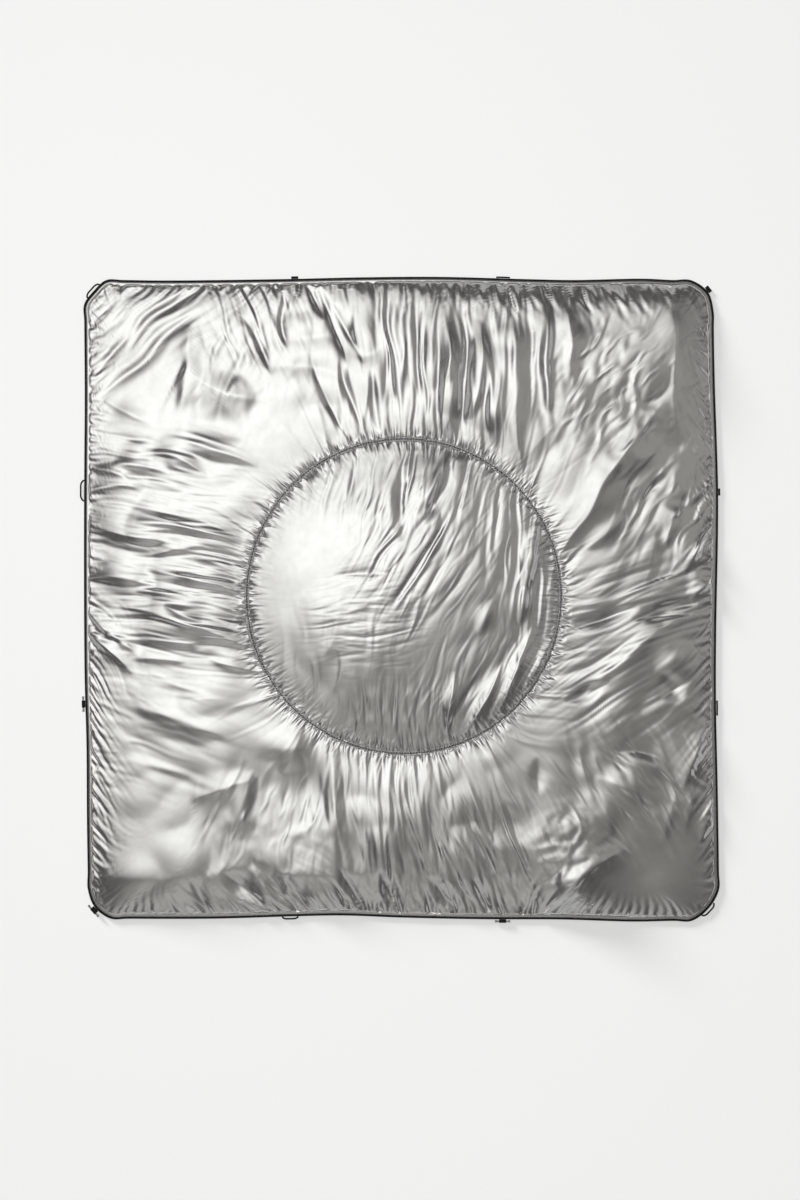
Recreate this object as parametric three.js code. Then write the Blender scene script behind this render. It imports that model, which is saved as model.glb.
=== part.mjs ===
// Square insulated blanket with a silver face, laid out flat: one filled solid that is sewn through along a
// large circle, a black edge binding, six cord loops and six webbing tabs, three of them with a bar toggle.
// Millimetres, +Z up, +Y towards the top edge. The underside lies flat on z = 0.
import * as THREE from "three";

// Heights of the filled solid. The disc's crown leans, so that it is higher towards its upper left.
const EDGE_HEIGHT = 4.2;
const LEAST_HEIGHT = 2.5;
const SEAM_HEIGHT = 12;
const DISC_CROWN = { rise: 38, lean: 0.36 };
const SURROUND_CROWN = { rise: 12, fromSeam: 75, fromEdge: 50 };

// The sewn circle
const CIRCLE = { x: 4, y: 4, radius: 345 };

// Each edge runs between two corner points and is bowed outward at shares of its length. The corner after it
// stands out from the straight line to the next edge by the corner bulge.
const EDGES = [
  {
    from: [-650, 697],
    to: [634, 697],
    bows: [[0.1, -1], [0.3, 2], [0.44, 6], [0.57, 7], [0.72, 2], [0.8, 0], [0.92, 3]],
    cornerBulge: 15,
  },
  {
    from: [683, 629],
    to: [695, -640],
    bows: [[0.12, 1], [0.3, 6], [0.38, 5], [0.55, -1], [0.68, -3], [0.82, -1]],
    cornerBulge: 10,
  },
  {
    from: [636, -708],
    to: [-640, -703],
    bows: [[0.1, 2], [0.22, -2], [0.36, -2], [0.5, -5], [0.6, -9], [0.68, -7], [0.82, -1]],
    cornerBulge: 12,
  },
  {
    from: [-689, -640],
    to: [-697, 645],
    bows: [[0.12, 1], [0.25, 1], [0.36, 4], [0.55, 4], [0.72, 2], [0.84, 0]],
    cornerBulge: 4,
  },
];
const EDGE_EASE = 0.03;

// Binding tape, cord and webbing
const BINDING = { width: 4.4, low: 0.2, high: 5.2, shoulder: 1.2 };
const PIECE_GAP = 0.3;
const CORD_RADIUS = 1.6;
const CORD_HEIGHT = 2.7;
const LOOP_SHAPE = { foot: 1.2, knee: 0.92, kneeRise: 0.35, shoulder: 0.62, slack: 0.3 };
const WEB_THICKNESS = 1.2;
const TAB_WIDTH = 15.4;
const TAB_HEIGHT = 2.7;
const BAR = { length: 34, neck: 1.9, knob: 2.7, knobLength: 4.5, bevel: 1, height: 3.9 };

// Where each fitting sits on the edge, and how far it stands out from the binding
const LOOPS = [
  { name: "loop_top_left", x: -677, y: 673, width: 38, stands: 7.7 },
  { name: "loop_left", x: -697, y: 236, width: 44, stands: 8.9 },
  { name: "loop_bottom", x: -246, y: -697, width: 33, stands: 6.6 },
  { name: "loop_bottom_right", x: 671, y: -683, width: 36, stands: 7.3 },
];
const TUCKED_LOOPS = [
  { name: "loop_top", x: 222, y: 703, width: 30 },
  { name: "loop_right", x: 691, y: -242, width: 33 },
];
const TABS = [
  { name: "tab_top", x: -236, y: 700, stands: 5.6 },
  { name: "tab_top_right", x: 669, y: 675, stands: 8.8 },
  { name: "tab_right", x: 694, y: 233, stands: 4.6 },
];
const TOGGLES = [
  { name: "bottom", x: 221, y: -706, barOut: 4.2 },
  { name: "bottom_left", x: -672, y: -682, barOut: 7.2 },
  { name: "left", x: -694, y: -233, barOut: 4.2 },
];

// How finely the solid is divided: rings from the middle to the circle, and from the circle to the edge
const SEGMENTS = 216;
const DISC_RINGS = [0.1, 0.2, 0.3, 0.4, 0.5, 0.6, 0.7, 0.8, 0.9, 0.97, 1];
const SURROUND_RINGS = [
  0.04, 0.1, 0.17, 0.25, 0.33, 0.41, 0.49, 0.57, 0.65, 0.73, 0.8, 0.87, 0.93, 0.975, 1,
];
const CORD_SIDES = 7;
const CORD_STEPS = 14;
const FOLD_STEPS = 8;
const BAR_SIDES = 10;

// Puckers on both sides of the sewn circle and along the edge
const DISC_PUCKERS = { count: 37, height: 1.6, reach: 75 };
const SEAM_PUCKERS = { count: 44, height: 2.4, reach: 115 };
const EDGE_PUCKERS = { count: 58, height: 2.2, reach: 90 };

// No flank is narrower than half the finest fold, and a full lean changes a flank's width by the lean share
const FINEST_FOLD = 54;
const LEAN_SHARE = 0.4;

// The main folds: both ends, bow to the left of their run, how wide, how far the cloth dips (below zero) or
// stands up along them, and lean, which makes the flank on the left wider and the one on the right steeper
const FOLDS = [
  // x1, y1, x2, y2, bow, width, rise, lean
  // Top left corner
  [-425, 690, -600, 548, -17, 34, -10, 0.5],
  [-478, 620, -660, 440, -5, 40, -13, 0.5],
  [-575, 610, -684, 480, -2, 30, -9, 0.5],
  [-473, 579, -499, 415, 3, 46, -10, 0.5],
  [-348, 612, -288, 499, 7, 36, -10, 0.4],
  [-455, 500, -300, 418, -24, 46, 7, 0.6],
  // Left side
  [-530, 350, -310, 292, 6, 60, 13, 0.7],
  [-566, 316, -425, 268, 14, 44, 9, 0.7],
  [-640, 296, -515, 276, 6, 42, 9, 0.7],
  [-694, 148, -478, 112, 8, 74, 14, 0.7],
  [-582, 170, -350, 118, 8, 60, 13, 0.7],
  [-690, 44, -540, 28, 8, 56, 12, 0.7],
  [-565, 66, -346, 4, 5, 54, 12, 0.7],
  [-622, -14, -316, -116, 8, 80, 18, 0.7],
  [-610, -85, -465, -94, 0, 48, 11, 0.7],
  [-605, -136, -460, -138, 0, 40, 9, 0.7],
  [-405, -144, -312, -152, 0, 44, 9, 0.7],
  [-692, -70, -586, -166, -4, 38, 9, 0.7],
  [-604, -232, -322, -332, 6, 110, 9, 0.8],
  // Top side
  [-182, 690, -114, 498, -4, 28, -8, 0],
  [-156, 642, -86, 524, 0, 36, -11, -0.3],
  [-200, 535, -118, 348, -6, 30, -8, 0],
  [95, 662, 102, 345, 4, 56, 14, -0.6],
  [174, 610, 150, 390, 12, 56, 13, -0.6],
  [246, 640, 262, 266, -8, 58, 15, -0.6],
  [319, 640, 322, 398, 0, 50, 13, -0.6],
  [366, 680, 372, 470, 0, 44, 11, -0.6],
  // Top right corner
  [588, 770, 606, 330, 0, 190, 18, -0.8],
  [580, 440, 345, 88, -8, 125, 21, -0.8],
  [482, 182, 405, 100, 0, 40, 7, -0.3],
  // Right side
  [684, 152, 612, 54, 0, 48, 11, -0.7],
  [692, 58, 630, -4, 0, 40, 9, -0.7],
  [355, -75, 522, -22, 4, 36, -10, 0],
  [628, -32, 402, -214, -10, 54, 12, 0.6],
  [354, -230, 456, -186, 0, 32, -9, 0],
  [645, -106, 548, -165, 0, 64, 9, 0.4],
  // Bottom right corner
  [424, -396, 560, -452, 4, 84, 8, 0.65],
  [426, -396, 470, -536, 0, 84, 8, -0.65],
  [462, -336, 590, -372, 18, 44, -8, 0.6],
  [218, -448, 292, -545, 0, 64, -8, 0],
  [288, -702, 496, -540, 6, 230, 31, 0.9],
  // Bottom left corner
  [-470, -438, -318, -398, 0, 110, 10, 0.8],
  [-332, -380, -352, -535, 0, 64, 8, -0.8],
  [-226, -330, -234, -520, 24, 170, -14, -0.8],
  [-212, -282, -262, -385, 0, 64, 9, -0.5],
  [-152, -340, -140, -590, 0, 80, 11, -0.6],
  [-60, -366, -42, -660, 0, 150, 15, 0.8],
  [-700, -604, -330, -582, -20, 160, 12, 0.4],
  [-390, -580, -20, -594, -20, 150, 12, 0.45],
  [0, -620, 300, -592, -8, 120, 9, 0.4],
  [-334, -568, -200, -698, -8, 32, -10, 0.4],
  // Disc
  [0, 290, -3, 122, 0, 38, -7, 0.3],
  [121, 321, 25, 178, 0, 54, 8, -0.4],
  [296, 162, 266, 5, 4, 36, 9, -0.3],
  [286, -60, 194, -272, 8, 50, 14, 0.7],
  [222, -140, 126, -304, 8, 46, 13, 0.7],
  [114, -160, 98, -304, 0, 36, 10, 0.7],
  [-260, -60, 60, -110, 0, 230, 6, 0],
].map(([x1, y1, x2, y2, bow, width, rise, lean]) => ({ x1, y1, x2, y2, bow, width, rise, lean }));

const silverCloth = new THREE.MeshStandardMaterial({ color: 0xc6c6c3, metalness: 0.9, roughness: 0.34 });
const blackTape = new THREE.MeshStandardMaterial({ color: 0x1b1b1c, roughness: 0.85 });
const blackCord = new THREE.MeshStandardMaterial({ color: 0x141415, roughness: 0.8 });
const blackWebbing = new THREE.MeshStandardMaterial({ color: 0x161617, roughness: 0.9 });
const greyPlastic = new THREE.MeshStandardMaterial({ color: 0xb4b5b2, roughness: 0.45 });

const clamp01 = (value) => THREE.MathUtils.clamp(value, 0, 1);
const smooth = (value, from, to) => THREE.MathUtils.smoothstep(value, from, to);

// 0 at a line of stitching, and close to 1 a few times the reach away from it
const shoulder = (distance, reach) => 1 - Math.exp(-distance / reach);

// The middle line of the binding, as a closed curve through the corners and the bowed edges.
function edgeCurve() {
  const stations = [];
  EDGES.forEach((edge, index) => {
    const from = new THREE.Vector3(...edge.from, 0);
    const to = new THREE.Vector3(...edge.to, 0);
    const next = new THREE.Vector3(...EDGES[(index + 1) % EDGES.length].from, 0);
    const rows = [[0, 0], [EDGE_EASE, 0], ...edge.bows, [1 - EDGE_EASE, 0], [1, 0]];
    for (const [share, bow] of rows) {
      stations.push(from.clone().lerp(to, share).addScaledVector(leftOf(from, to), bow));
    }
    stations.push(to.clone().lerp(next, 0.5).addScaledVector(leftOf(to, next), edge.cornerBulge));
  });
  const curve = new THREE.CatmullRomCurve3(stations, true, "centripetal");
  curve.arcLengthDivisions = 2000;
  return curve;
}

// The edges run clockwise, so the outward side is on their left.
function leftOf(from, to) {
  const along = to.clone().sub(from).normalize();
  return new THREE.Vector3(-along.y, along.x, 0);
}

// Evenly spaced points on the curve, each with its outward direction.
function edgeStations() {
  const points = edgeCurve().getSpacedPoints(SEGMENTS).slice(0, SEGMENTS);
  return points.map((point, i) => {
    const before = points[(i + SEGMENTS - 1) % SEGMENTS];
    const after = points[(i + 1) % SEGMENTS];
    return { point, outward: leftOf(before, after) };
  });
}

const STATIONS = edgeStations();

// The closed line that runs beside the binding's middle line, so far outside it.
function offsetLine(distance) {
  return STATIONS.map(({ point, outward }) => point.clone().addScaledVector(outward, distance));
}

// How much one fold lifts the cloth at a point.
function foldRise(fold, x, y) {
  const dx = fold.x2 - fold.x1;
  const dy = fold.y2 - fold.y1;
  const length = Math.hypot(dx, dy);
  const share = clamp01(((x - fold.x1) * dx + (y - fold.y1) * dy) / length ** 2);
  const bowed = fold.bow * 4 * share * (1 - share);
  const aside = ((y - fold.y1) * dx - (x - fold.x1) * dy) / length - bowed;
  const taper = Math.sin(Math.PI * share);
  const flank = 1 + LEAN_SHARE * fold.lean * Math.sign(aside);
  const halfWidth = Math.max(fold.width * flank, FINEST_FOLD) / 2;
  return fold.rise * taper * Math.exp(-((aside / halfWidth) ** 2));
}

// Puckers start at the stitching, are fullest a third of the way along and die away at their reach.
function puckerRise(puckers, turn, distance) {
  const wave = Math.sin(puckers.count * turn + 1.5 * Math.sin(5 * turn));
  const uneven = 0.65 + 0.35 * Math.sin(7 * turn + 2 * Math.sin(3 * turn));
  const share = clamp01(distance / puckers.reach);
  const fullness = smooth(share, 0, 0.3) * smooth(1 - share, 0, 0.7);
  return puckers.height * wave * uneven * fullness;
}

// Height of the upper face. The ring counts 0 at the middle, 1 on the circle and 2 on the edge.
function topHeight(x, y, ring, turn, fromEdge) {
  const fromSeam = Math.abs(Math.hypot(x - CIRCLE.x, y - CIRCLE.y) - CIRCLE.radius);
  const folds = FOLDS.reduce((sum, fold) => sum + foldRise(fold, x, y), 0);
  if (ring <= 1) {
    const downRight = (x - CIRCLE.x - (y - CIRCLE.y)) / (Math.SQRT2 * CIRCLE.radius);
    const crown = DISC_CROWN.rise * (1 - DISC_CROWN.lean * downRight) * (1 - ring ** 2);
    const puckers = puckerRise(DISC_PUCKERS, turn, fromSeam);
    return SEAM_HEIGHT + crown + folds * smooth(1 - ring, 0, 0.12) + puckers;
  }
  const share = ring - 1;
  const base = THREE.MathUtils.lerp(SEAM_HEIGHT, EDGE_HEIGHT, share);
  const fullness = shoulder(fromSeam, SURROUND_CROWN.fromSeam) * shoulder(fromEdge, SURROUND_CROWN.fromEdge);
  const crown = SURROUND_CROWN.rise * fullness;
  const freedom = smooth(share, 0, 0.1) * smooth(1 - share, 0.01, 0.1);
  const puckers = puckerRise(SEAM_PUCKERS, turn, fromSeam) + puckerRise(EDGE_PUCKERS, turn, fromEdge);
  return Math.max(base + crown + folds * freedom + puckers, LEAST_HEIGHT);
}

// A lathe whose rings are first counted 0 to 2 and then moved out to the circle and the edge.
function blanket() {
  const rings = [0, ...DISC_RINGS, ...SURROUND_RINGS.map((share) => 1 + share)];
  const profile = rings.map((ring) => new THREE.Vector2(ring, 1));
  profile.push(new THREE.Vector2(2, 0), new THREE.Vector2(0, 0));
  const geometry = new THREE.LatheGeometry(profile, SEGMENTS);
  const place = geometry.getAttribute("position");
  const border = offsetLine(-BINDING.width / 2 - PIECE_GAP);
  const centre = new THREE.Vector3(CIRCLE.x, CIRCLE.y, 0);
  for (let i = 0; i <= SEGMENTS; i++) {
    const edge = border[i % SEGMENTS];
    const ray = edge.clone().sub(centre);
    const turn = Math.atan2(ray.y, ray.x);
    const onCircle = ray.clone().setLength(CIRCLE.radius).add(centre);
    profile.forEach((station, j) => {
      const inside = centre.clone().lerp(onCircle, Math.min(station.x, 1));
      const spot = inside.lerp(edge, Math.max(station.x - 1, 0));
      const rise = topHeight(spot.x, spot.y, station.x, turn, spot.distanceTo(edge));
      place.setXYZ(i * profile.length + j, spot.x, spot.y, station.y * rise);
    });
  }
  geometry.computeVertexNormals();
  return namedMesh("blanket", geometry, silverCloth);
}

// A lathe ring of six sides, moved out to the edge of the blanket.
function edgeBinding() {
  const { width, low, high, shoulder } = BINDING;
  const half = width / 2;
  const section = [
    [-half, low + shoulder],
    [-half, high - shoulder],
    [0, high],
    [half, high - shoulder],
    [half, low + shoulder],
    [0, low],
    [-half, low + shoulder],
  ].map(([out, height]) => new THREE.Vector2(CIRCLE.radius + out, height));
  const geometry = new THREE.LatheGeometry(section, SEGMENTS);
  const place = geometry.getAttribute("position");
  for (let i = 0; i <= SEGMENTS; i++) {
    const { point, outward } = STATIONS[i % SEGMENTS];
    section.forEach(({ x, y }, j) => {
      const spot = point.clone().addScaledVector(outward, x - CIRCLE.radius);
      place.setXYZ(i * section.length + j, spot.x, spot.y, y);
    });
  }
  geometry.computeVertexNormals();
  return namedMesh("edge_binding", geometry, blackTape);
}

// A group at the binding's outer face, with +X pointing away from the blanket and +Y along the edge.
function seatAt(x, y) {
  const wanted = new THREE.Vector3(x, y, 0);
  const outer = offsetLine(BINDING.width / 2);
  const side = new THREE.Line3();
  const best = { distance: Infinity };
  outer.forEach((start, i) => {
    const end = outer[(i + 1) % SEGMENTS];
    const foot = side.set(start, end).closestPointToPoint(wanted, true, new THREE.Vector3());
    const distance = foot.distanceTo(wanted);
    if (distance < best.distance) {
      Object.assign(best, { distance, foot, outward: leftOf(start, end) });
    }
  });
  const seat = new THREE.Group();
  seat.position.copy(best.foot);
  seat.rotation.z = Math.atan2(best.outward.y, best.outward.x);
  seat.updateMatrix();
  return seat;
}

// How far out the binding's face lies from a seat, so far along the edge.
function faceAt(seat, along) {
  const inward = seat.matrix.clone().invert();
  const outer = offsetLine(BINDING.width / 2).map((spot) => spot.applyMatrix4(inward));
  let nearest = Infinity;
  outer.forEach((start, i) => {
    const end = outer[(i + 1) % SEGMENTS];
    if ((start.y - along) * (end.y - along) > 0 || start.y === end.y) {
      return;
    }
    const out = THREE.MathUtils.mapLinear(along, start.y, end.y, start.x, end.x);
    nearest = Math.abs(out) < Math.abs(nearest) ? out : nearest;
  });
  return nearest;
}

// Where a piece so wide can start, just clear of the binding along its whole width.
function footAt(seat, along, halfWidth) {
  const faces = [-halfWidth, 0, halfWidth].map((aside) => faceAt(seat, along + aside));
  return Math.max(...faces) + PIECE_GAP;
}

function namedMesh(name, geometry, material) {
  const mesh = new THREE.Mesh(geometry, material);
  mesh.name = name;
  return mesh;
}

// A round cord along points given as distance out from the seat and distance along the edge.
function cordAlong(name, route) {
  const points = route.map(([out, along]) => new THREE.Vector3(out, along, CORD_HEIGHT));
  const extrudePath = new THREE.CatmullRomCurve3(points);
  const section = new THREE.Shape();
  for (let k = 0; k < CORD_SIDES; k++) {
    const turn = (2 * Math.PI * k) / CORD_SIDES;
    const corner = [CORD_RADIUS * Math.cos(turn), CORD_RADIUS * Math.sin(turn)];
    if (k === 0) {
      section.moveTo(...corner);
    } else {
      section.lineTo(...corner);
    }
  }
  section.closePath();
  const settings = { steps: CORD_STEPS, extrudePath, bevelEnabled: false };
  const geometry = new THREE.ExtrudeGeometry(section, settings);
  return namedMesh(name, geometry, blackCord);
}

// A loop that stands out from the edge, with its two ends against the binding.
function standingLoop({ name, x, y, width, stands }) {
  const seat = seatAt(x, y);
  const half = width / 2;
  const crest = stands - CORD_RADIUS;
  const left = footAt(seat, -half, CORD_RADIUS);
  const right = footAt(seat, half, CORD_RADIUS);
  const { foot, knee, kneeRise, shoulder, slack } = LOOP_SHAPE;
  const kneeOut = (start) => THREE.MathUtils.lerp(start + CORD_RADIUS, crest, kneeRise);
  seat.add(
    cordAlong(name, [
      [left, -half],
      [left + foot, -half],
      [kneeOut(left), -knee * half],
      [crest, -shoulder * half],
      [crest + slack, 0],
      [crest, shoulder * half],
      [kneeOut(right), knee * half],
      [right + foot, half],
      [right, half],
    ]),
  );
  return seat;
}

// A loop that has slipped flat against the edge.
function tuckedLoop({ name, x, y, width }) {
  const seat = seatAt(x, y);
  const half = width / 2;
  const route = [-half, -half / 2, 0, half / 2, half].map((along) => {
    const slack = LOOP_SHAPE.slack * (1 - (along / half) ** 2);
    return [footAt(seat, along, half / 2) + CORD_RADIUS + slack, along];
  });
  seat.add(cordAlong(name, route));
  return seat;
}

// Webbing cut from its side view, which is drawn as distance out and height.
function webbing(name, sideView) {
  const settings = { depth: TAB_WIDTH, bevelEnabled: false, curveSegments: FOLD_STEPS };
  const geometry = new THREE.ExtrudeGeometry(sideView, settings);
  const mesh = namedMesh(name, geometry, blackWebbing);
  mesh.rotation.x = Math.PI / 2;
  mesh.position.y = TAB_WIDTH / 2;
  return mesh;
}

// A short tab of webbing folded flat.
function plainTab({ name, x, y, stands }) {
  const seat = seatAt(x, y);
  const foot = footAt(seat, 0, TAB_WIDTH / 2);
  const half = WEB_THICKNESS;
  const sideView = new THREE.Shape();
  sideView.moveTo(foot, TAB_HEIGHT - half);
  sideView.lineTo(stands - half, TAB_HEIGHT - half);
  sideView.absarc(stands - half, TAB_HEIGHT, half, -Math.PI / 2, Math.PI / 2, false);
  sideView.lineTo(foot, TAB_HEIGHT + half);
  sideView.closePath();
  seat.add(webbing(name, sideView));
  return seat;
}

// Webbing folded round the neck of a bar, and the bar with a knob at each end.
function toggle({ name, x, y, barOut }) {
  const seat = seatAt(x, y);
  const foot = footAt(seat, 0, TAB_WIDTH / 2);
  const bore = BAR.neck + PIECE_GAP;
  const outside = bore + WEB_THICKNESS;
  const out = Math.max(barOut, foot + outside);
  const sideView = new THREE.Shape();
  sideView.moveTo(foot, TAB_HEIGHT - WEB_THICKNESS);
  sideView.absarc(out, BAR.height, outside, -Math.PI / 2, Math.PI / 2, false);
  sideView.lineTo(foot, TAB_HEIGHT + WEB_THICKNESS);
  sideView.closePath();
  const hole = new THREE.Path();
  hole.absarc(out, BAR.height, bore, 0, 2 * Math.PI, true);
  sideView.holes.push(hole);
  seat.add(webbing("tab_" + name, sideView), toggleBar("toggle_" + name, out));
  return seat;
}

function toggleBar(name, out) {
  const { length, neck, knob, knobLength, bevel } = BAR;
  const end = length / 2;
  const half = [
    [neck, end - knobLength - bevel],
    [knob, end - knobLength],
    [knob, end - bevel],
    [neck, end],
    [0, end],
  ].map(([radius, along]) => new THREE.Vector2(radius, along));
  const mirrored = half.map(({ x, y }) => new THREE.Vector2(x, -y)).reverse();
  const bar = namedMesh(name, new THREE.LatheGeometry([...mirrored, ...half], BAR_SIDES), greyPlastic);
  bar.position.set(out, 0, BAR.height);
  return bar;
}

const group = new THREE.Group();
group.add(
  blanket(),
  edgeBinding(),
  ...LOOPS.map(standingLoop),
  ...TUCKED_LOOPS.map(tuckedLoop),
  ...TABS.map(plainTab),
  ...TOGGLES.map(toggle),
);

// The origin is under the middle of the whole part.
const middle = new THREE.Box3().setFromObject(group, true).getCenter(new THREE.Vector3());
group.position.set(-middle.x, -middle.y, 0);

export default group;
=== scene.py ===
# A square insulated blanket with a silver face, laid out flat and seen from straight above.
# The silver cloth is cut larger than the lines that hold it, so it gathers along the sewn circle and the hem.
# Lengths are millimetres in the blanket's own layout until a mesh is made, and metres in the frame then.
import math

import bpy
import numpy as np
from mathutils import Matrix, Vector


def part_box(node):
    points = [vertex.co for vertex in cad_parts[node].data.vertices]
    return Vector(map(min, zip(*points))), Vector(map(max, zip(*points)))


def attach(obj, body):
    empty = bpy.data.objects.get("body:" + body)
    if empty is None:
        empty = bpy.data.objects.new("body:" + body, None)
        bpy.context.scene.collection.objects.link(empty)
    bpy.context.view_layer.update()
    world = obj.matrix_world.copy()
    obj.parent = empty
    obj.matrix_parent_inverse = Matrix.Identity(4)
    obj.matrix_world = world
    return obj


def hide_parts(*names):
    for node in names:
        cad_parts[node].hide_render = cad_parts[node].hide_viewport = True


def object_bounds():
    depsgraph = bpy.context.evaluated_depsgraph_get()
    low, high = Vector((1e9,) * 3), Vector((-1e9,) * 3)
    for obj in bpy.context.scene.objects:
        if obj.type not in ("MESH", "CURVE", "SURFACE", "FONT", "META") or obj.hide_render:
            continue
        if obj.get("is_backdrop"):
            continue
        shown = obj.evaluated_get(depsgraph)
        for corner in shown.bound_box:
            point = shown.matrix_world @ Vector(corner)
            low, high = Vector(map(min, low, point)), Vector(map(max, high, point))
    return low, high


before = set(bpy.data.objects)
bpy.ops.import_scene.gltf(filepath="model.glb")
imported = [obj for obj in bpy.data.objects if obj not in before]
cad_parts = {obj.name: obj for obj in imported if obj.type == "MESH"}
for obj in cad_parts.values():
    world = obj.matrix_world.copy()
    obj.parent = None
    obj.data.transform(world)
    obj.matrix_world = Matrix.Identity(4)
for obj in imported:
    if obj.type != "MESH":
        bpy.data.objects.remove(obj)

CAD_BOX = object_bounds()
MM = 0.001
ROOT = "root"

# Heights of the filled blanket: at its edge, where the hem begins, the hem's roll, and at the sewn circle
EDGE_HEIGHT = 4.2
HEM_HEIGHT = 5.0
HEM_ROLL = 0.5
SEAM_HEIGHT = 12.0

# The disc's dome, and the share by which it is higher to the upper left and lower to the lower right
DISC_DOME = 38.0
DISC_LEAN = 0.36

# How far the cloth steps up right beside the stitching, and over what distance
SHOULDER = {"seam": 1.5, "hem": 0.8, "reach": 1.8}

# The surround's crown at shares of the way round from the top left corner: its height, and how far from the
# hem and from the circle it has most of that height
SURROUND_CROWN = [
    # share, rise, from_hem, from_seam
    (0.0, 12, 60, 75), (0.03, 12, 42, 75), (0.08, 12, 42, 75), (0.115, 13, 40, 75), (0.14, 20, 36, 75),
    (0.23, 20, 36, 75), (0.27, 12, 50, 75), (0.48, 12, 46, 75), (0.53, 12, 30, 75), (0.565, 16, 90, 45),
    (0.61, 16, 90, 45), (0.64, 13, 24, 75), (0.68, 13, 20, 75), (0.74, 12, 40, 75), (0.8, 12, 110, 75),
    (0.96, 12, 130, 75),
]

# The sewn circle, the cloth's gap to it, the least radius that directions are taken at, and the hem
CIRCLE = np.array([4.0, 4.0])
CIRCLE_RADIUS = 345.0
CIRCLE_STEPS = 720
SEAM_GAP = 0.5
LEAST_RADIUS = 1.0
HEM_WIDTH = 5.5
HEM_ROWS = 3

# Each edge: both ends, how far the next corner stands out, and outward bows at shares of the edge's length
EDGES = [
    ((-650, 697), (634, 697), 15,
     [(0.1, -1), (0.3, 2), (0.44, 6), (0.57, 7), (0.72, 2), (0.8, 0), (0.92, 3)]),
    ((683, 629), (695, -640), 10,
     [(0.12, 1), (0.3, 6), (0.38, 5), (0.55, -1), (0.68, -3), (0.82, -1)]),
    ((636, -708), (-640, -703), 12,
     [(0.1, 2), (0.22, -2), (0.36, -2), (0.5, -5), (0.6, -9), (0.68, -7), (0.82, -1)]),
    ((-689, -640), (-697, 645), 4,
     [(0.12, 1), (0.25, 1), (0.36, 4), (0.55, 4), (0.72, 2), (0.84, 0)]),
]

# Share of an edge that stays straight at both ends, and steps of the curve between two of its points
EDGE_EASE = 0.03
EDGE_CURVE_STEPS = 60

# Binding tape, with how round its section is, and the uneven roll of its top as a height and two waves
BINDING = {"width": 4.4, "low": 0.2, "high": 5.2, "rounding": 0.7, "roll": 0.3, "waves": (0.19, 0.047)}
PIECE_GAP = 0.3

# Cord, with a braid whose strands stand out, webbing, with half the gap between its layers and the bore of a
# flat fold, and bars
CORD_RADIUS = 1.8
CORD_HEIGHT = 2.7
BRAID = {"pitch": 4.2, "low": 0.92, "rise": 0.16}
LOOP_SHAPE = {"foot": 1.2, "knee": 0.92, "knee_rise": 0.35, "shoulder": 0.62, "slack": 0.3}
WEB_THICKNESS = 1.2
TAB_WIDTH = 15.4
TAB_HEIGHT = 2.7
FOLD_GAP = 0.05
FLAT_BORE = 0.08
BAR = {"length": 34.0, "neck": 1.9, "knob": 2.7, "knob_length": 4.5, "bevel": 1.0, "height": 3.9}

# The strap's section across its width, as place and fullness
STRAP_SECTION = [
    (-1, 0.5), (-0.97, 0.95), (-0.9, 1.06), (-0.8, 0.97), (-0.4, 0.94), (0, 0.94),
    (0.4, 0.94), (0.8, 0.97), (0.9, 1.06), (0.97, 0.95), (1, 0.5),
]

# A bar's profile: where a half begins, points of its knob as distances inside the knob's radius and from the
# knob's inner or outer end, and the hollow in that end
BAR_MIDDLE = 0.8
KNOB_START = [(0.2, -0.2), (0.0, 0.6)]
KNOB_END = [(0.0, 1.0), (0.5, 0.2), (0.9, 0.0), (1.3, 0.3)]
HOLLOW = {"radius": 0.4, "depth": 0.9}

# How much wider than a fitting's foot the binding is looked at, and how far from its seat
FOOT_MARGIN = 2.0
SEAT_REACH = 60.0

# How finely the fittings are divided
BINDING_SIDES = 14
CORD_SIDES = 16
CORD_STEPS = 120
CORD_CURVE_STEPS = 16
TUCKED_POINTS = 5
FOLD_STEPS = 16
STRAP_STEPS = 40
BAR_SIDES = 32

# Thread of the sewn circle and of the hem, how thick a stitch is along it, and how far its thin ends sink
CIRCLE_THREAD = {"height": 12.3, "length": 5.4, "pitch": 6.2, "radius": 0.45}
HEM_THREAD = {"height": 5.2, "length": 3.4, "pitch": 4.6, "radius": 0.32}
STITCH_FORM = [0.3, 0.8, 1.0, 1.0, 0.8, 0.3]
STITCH_SINK = 1.2
STITCH_SIDES = 6
STITCHED_STEPS = 4000

# Where each fitting sits on the edge, and how far it stands out from the binding
LOOPS = [
    # name, x, y, width, stands out
    ("loop_top_left", -677, 673, 38, 7.7),
    ("loop_left", -697, 236, 44, 8.9),
    ("loop_bottom", -246, -697, 33, 6.6),
    ("loop_bottom_right", 671, -683, 36, 7.3),
]
TUCKED_LOOPS = [
    # name, x, y, width
    ("loop_top", 222, 703, 30),
    ("loop_right", 691, -242, 33),
]
TABS = [
    # name, x, y, stands out
    ("tab_top", -236, 700, 5.6),
    ("tab_top_right", 669, 675, 8.8),
    ("tab_right", 694, 233, 4.6),
]
TOGGLES = [
    # name, x, y, the bar's middle
    ("bottom", 221, -706, 4.2),
    ("bottom_left", -672, -682, 7.2),
    ("left", -694, -233, 4.2),
]

# Grids that the cloth is settled on, coarse to fine, with rings closer together at both lines of stitching
SURROUND_COLUMNS = 1376
SURROUND_RINGS = 136
RING_CROWDING = 0.08
DISC_SIDE = 280
LEVELS = [
    # coarseness, rounds, start roughness, stiffness against bending, share of the gathers
    (4, 80, 0.6, 0.3, 0.0),
    (2, 80, 0.2, 0.5, 0.5),
    (1, 70, 0.1, 0.8, 1.0),
]

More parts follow.
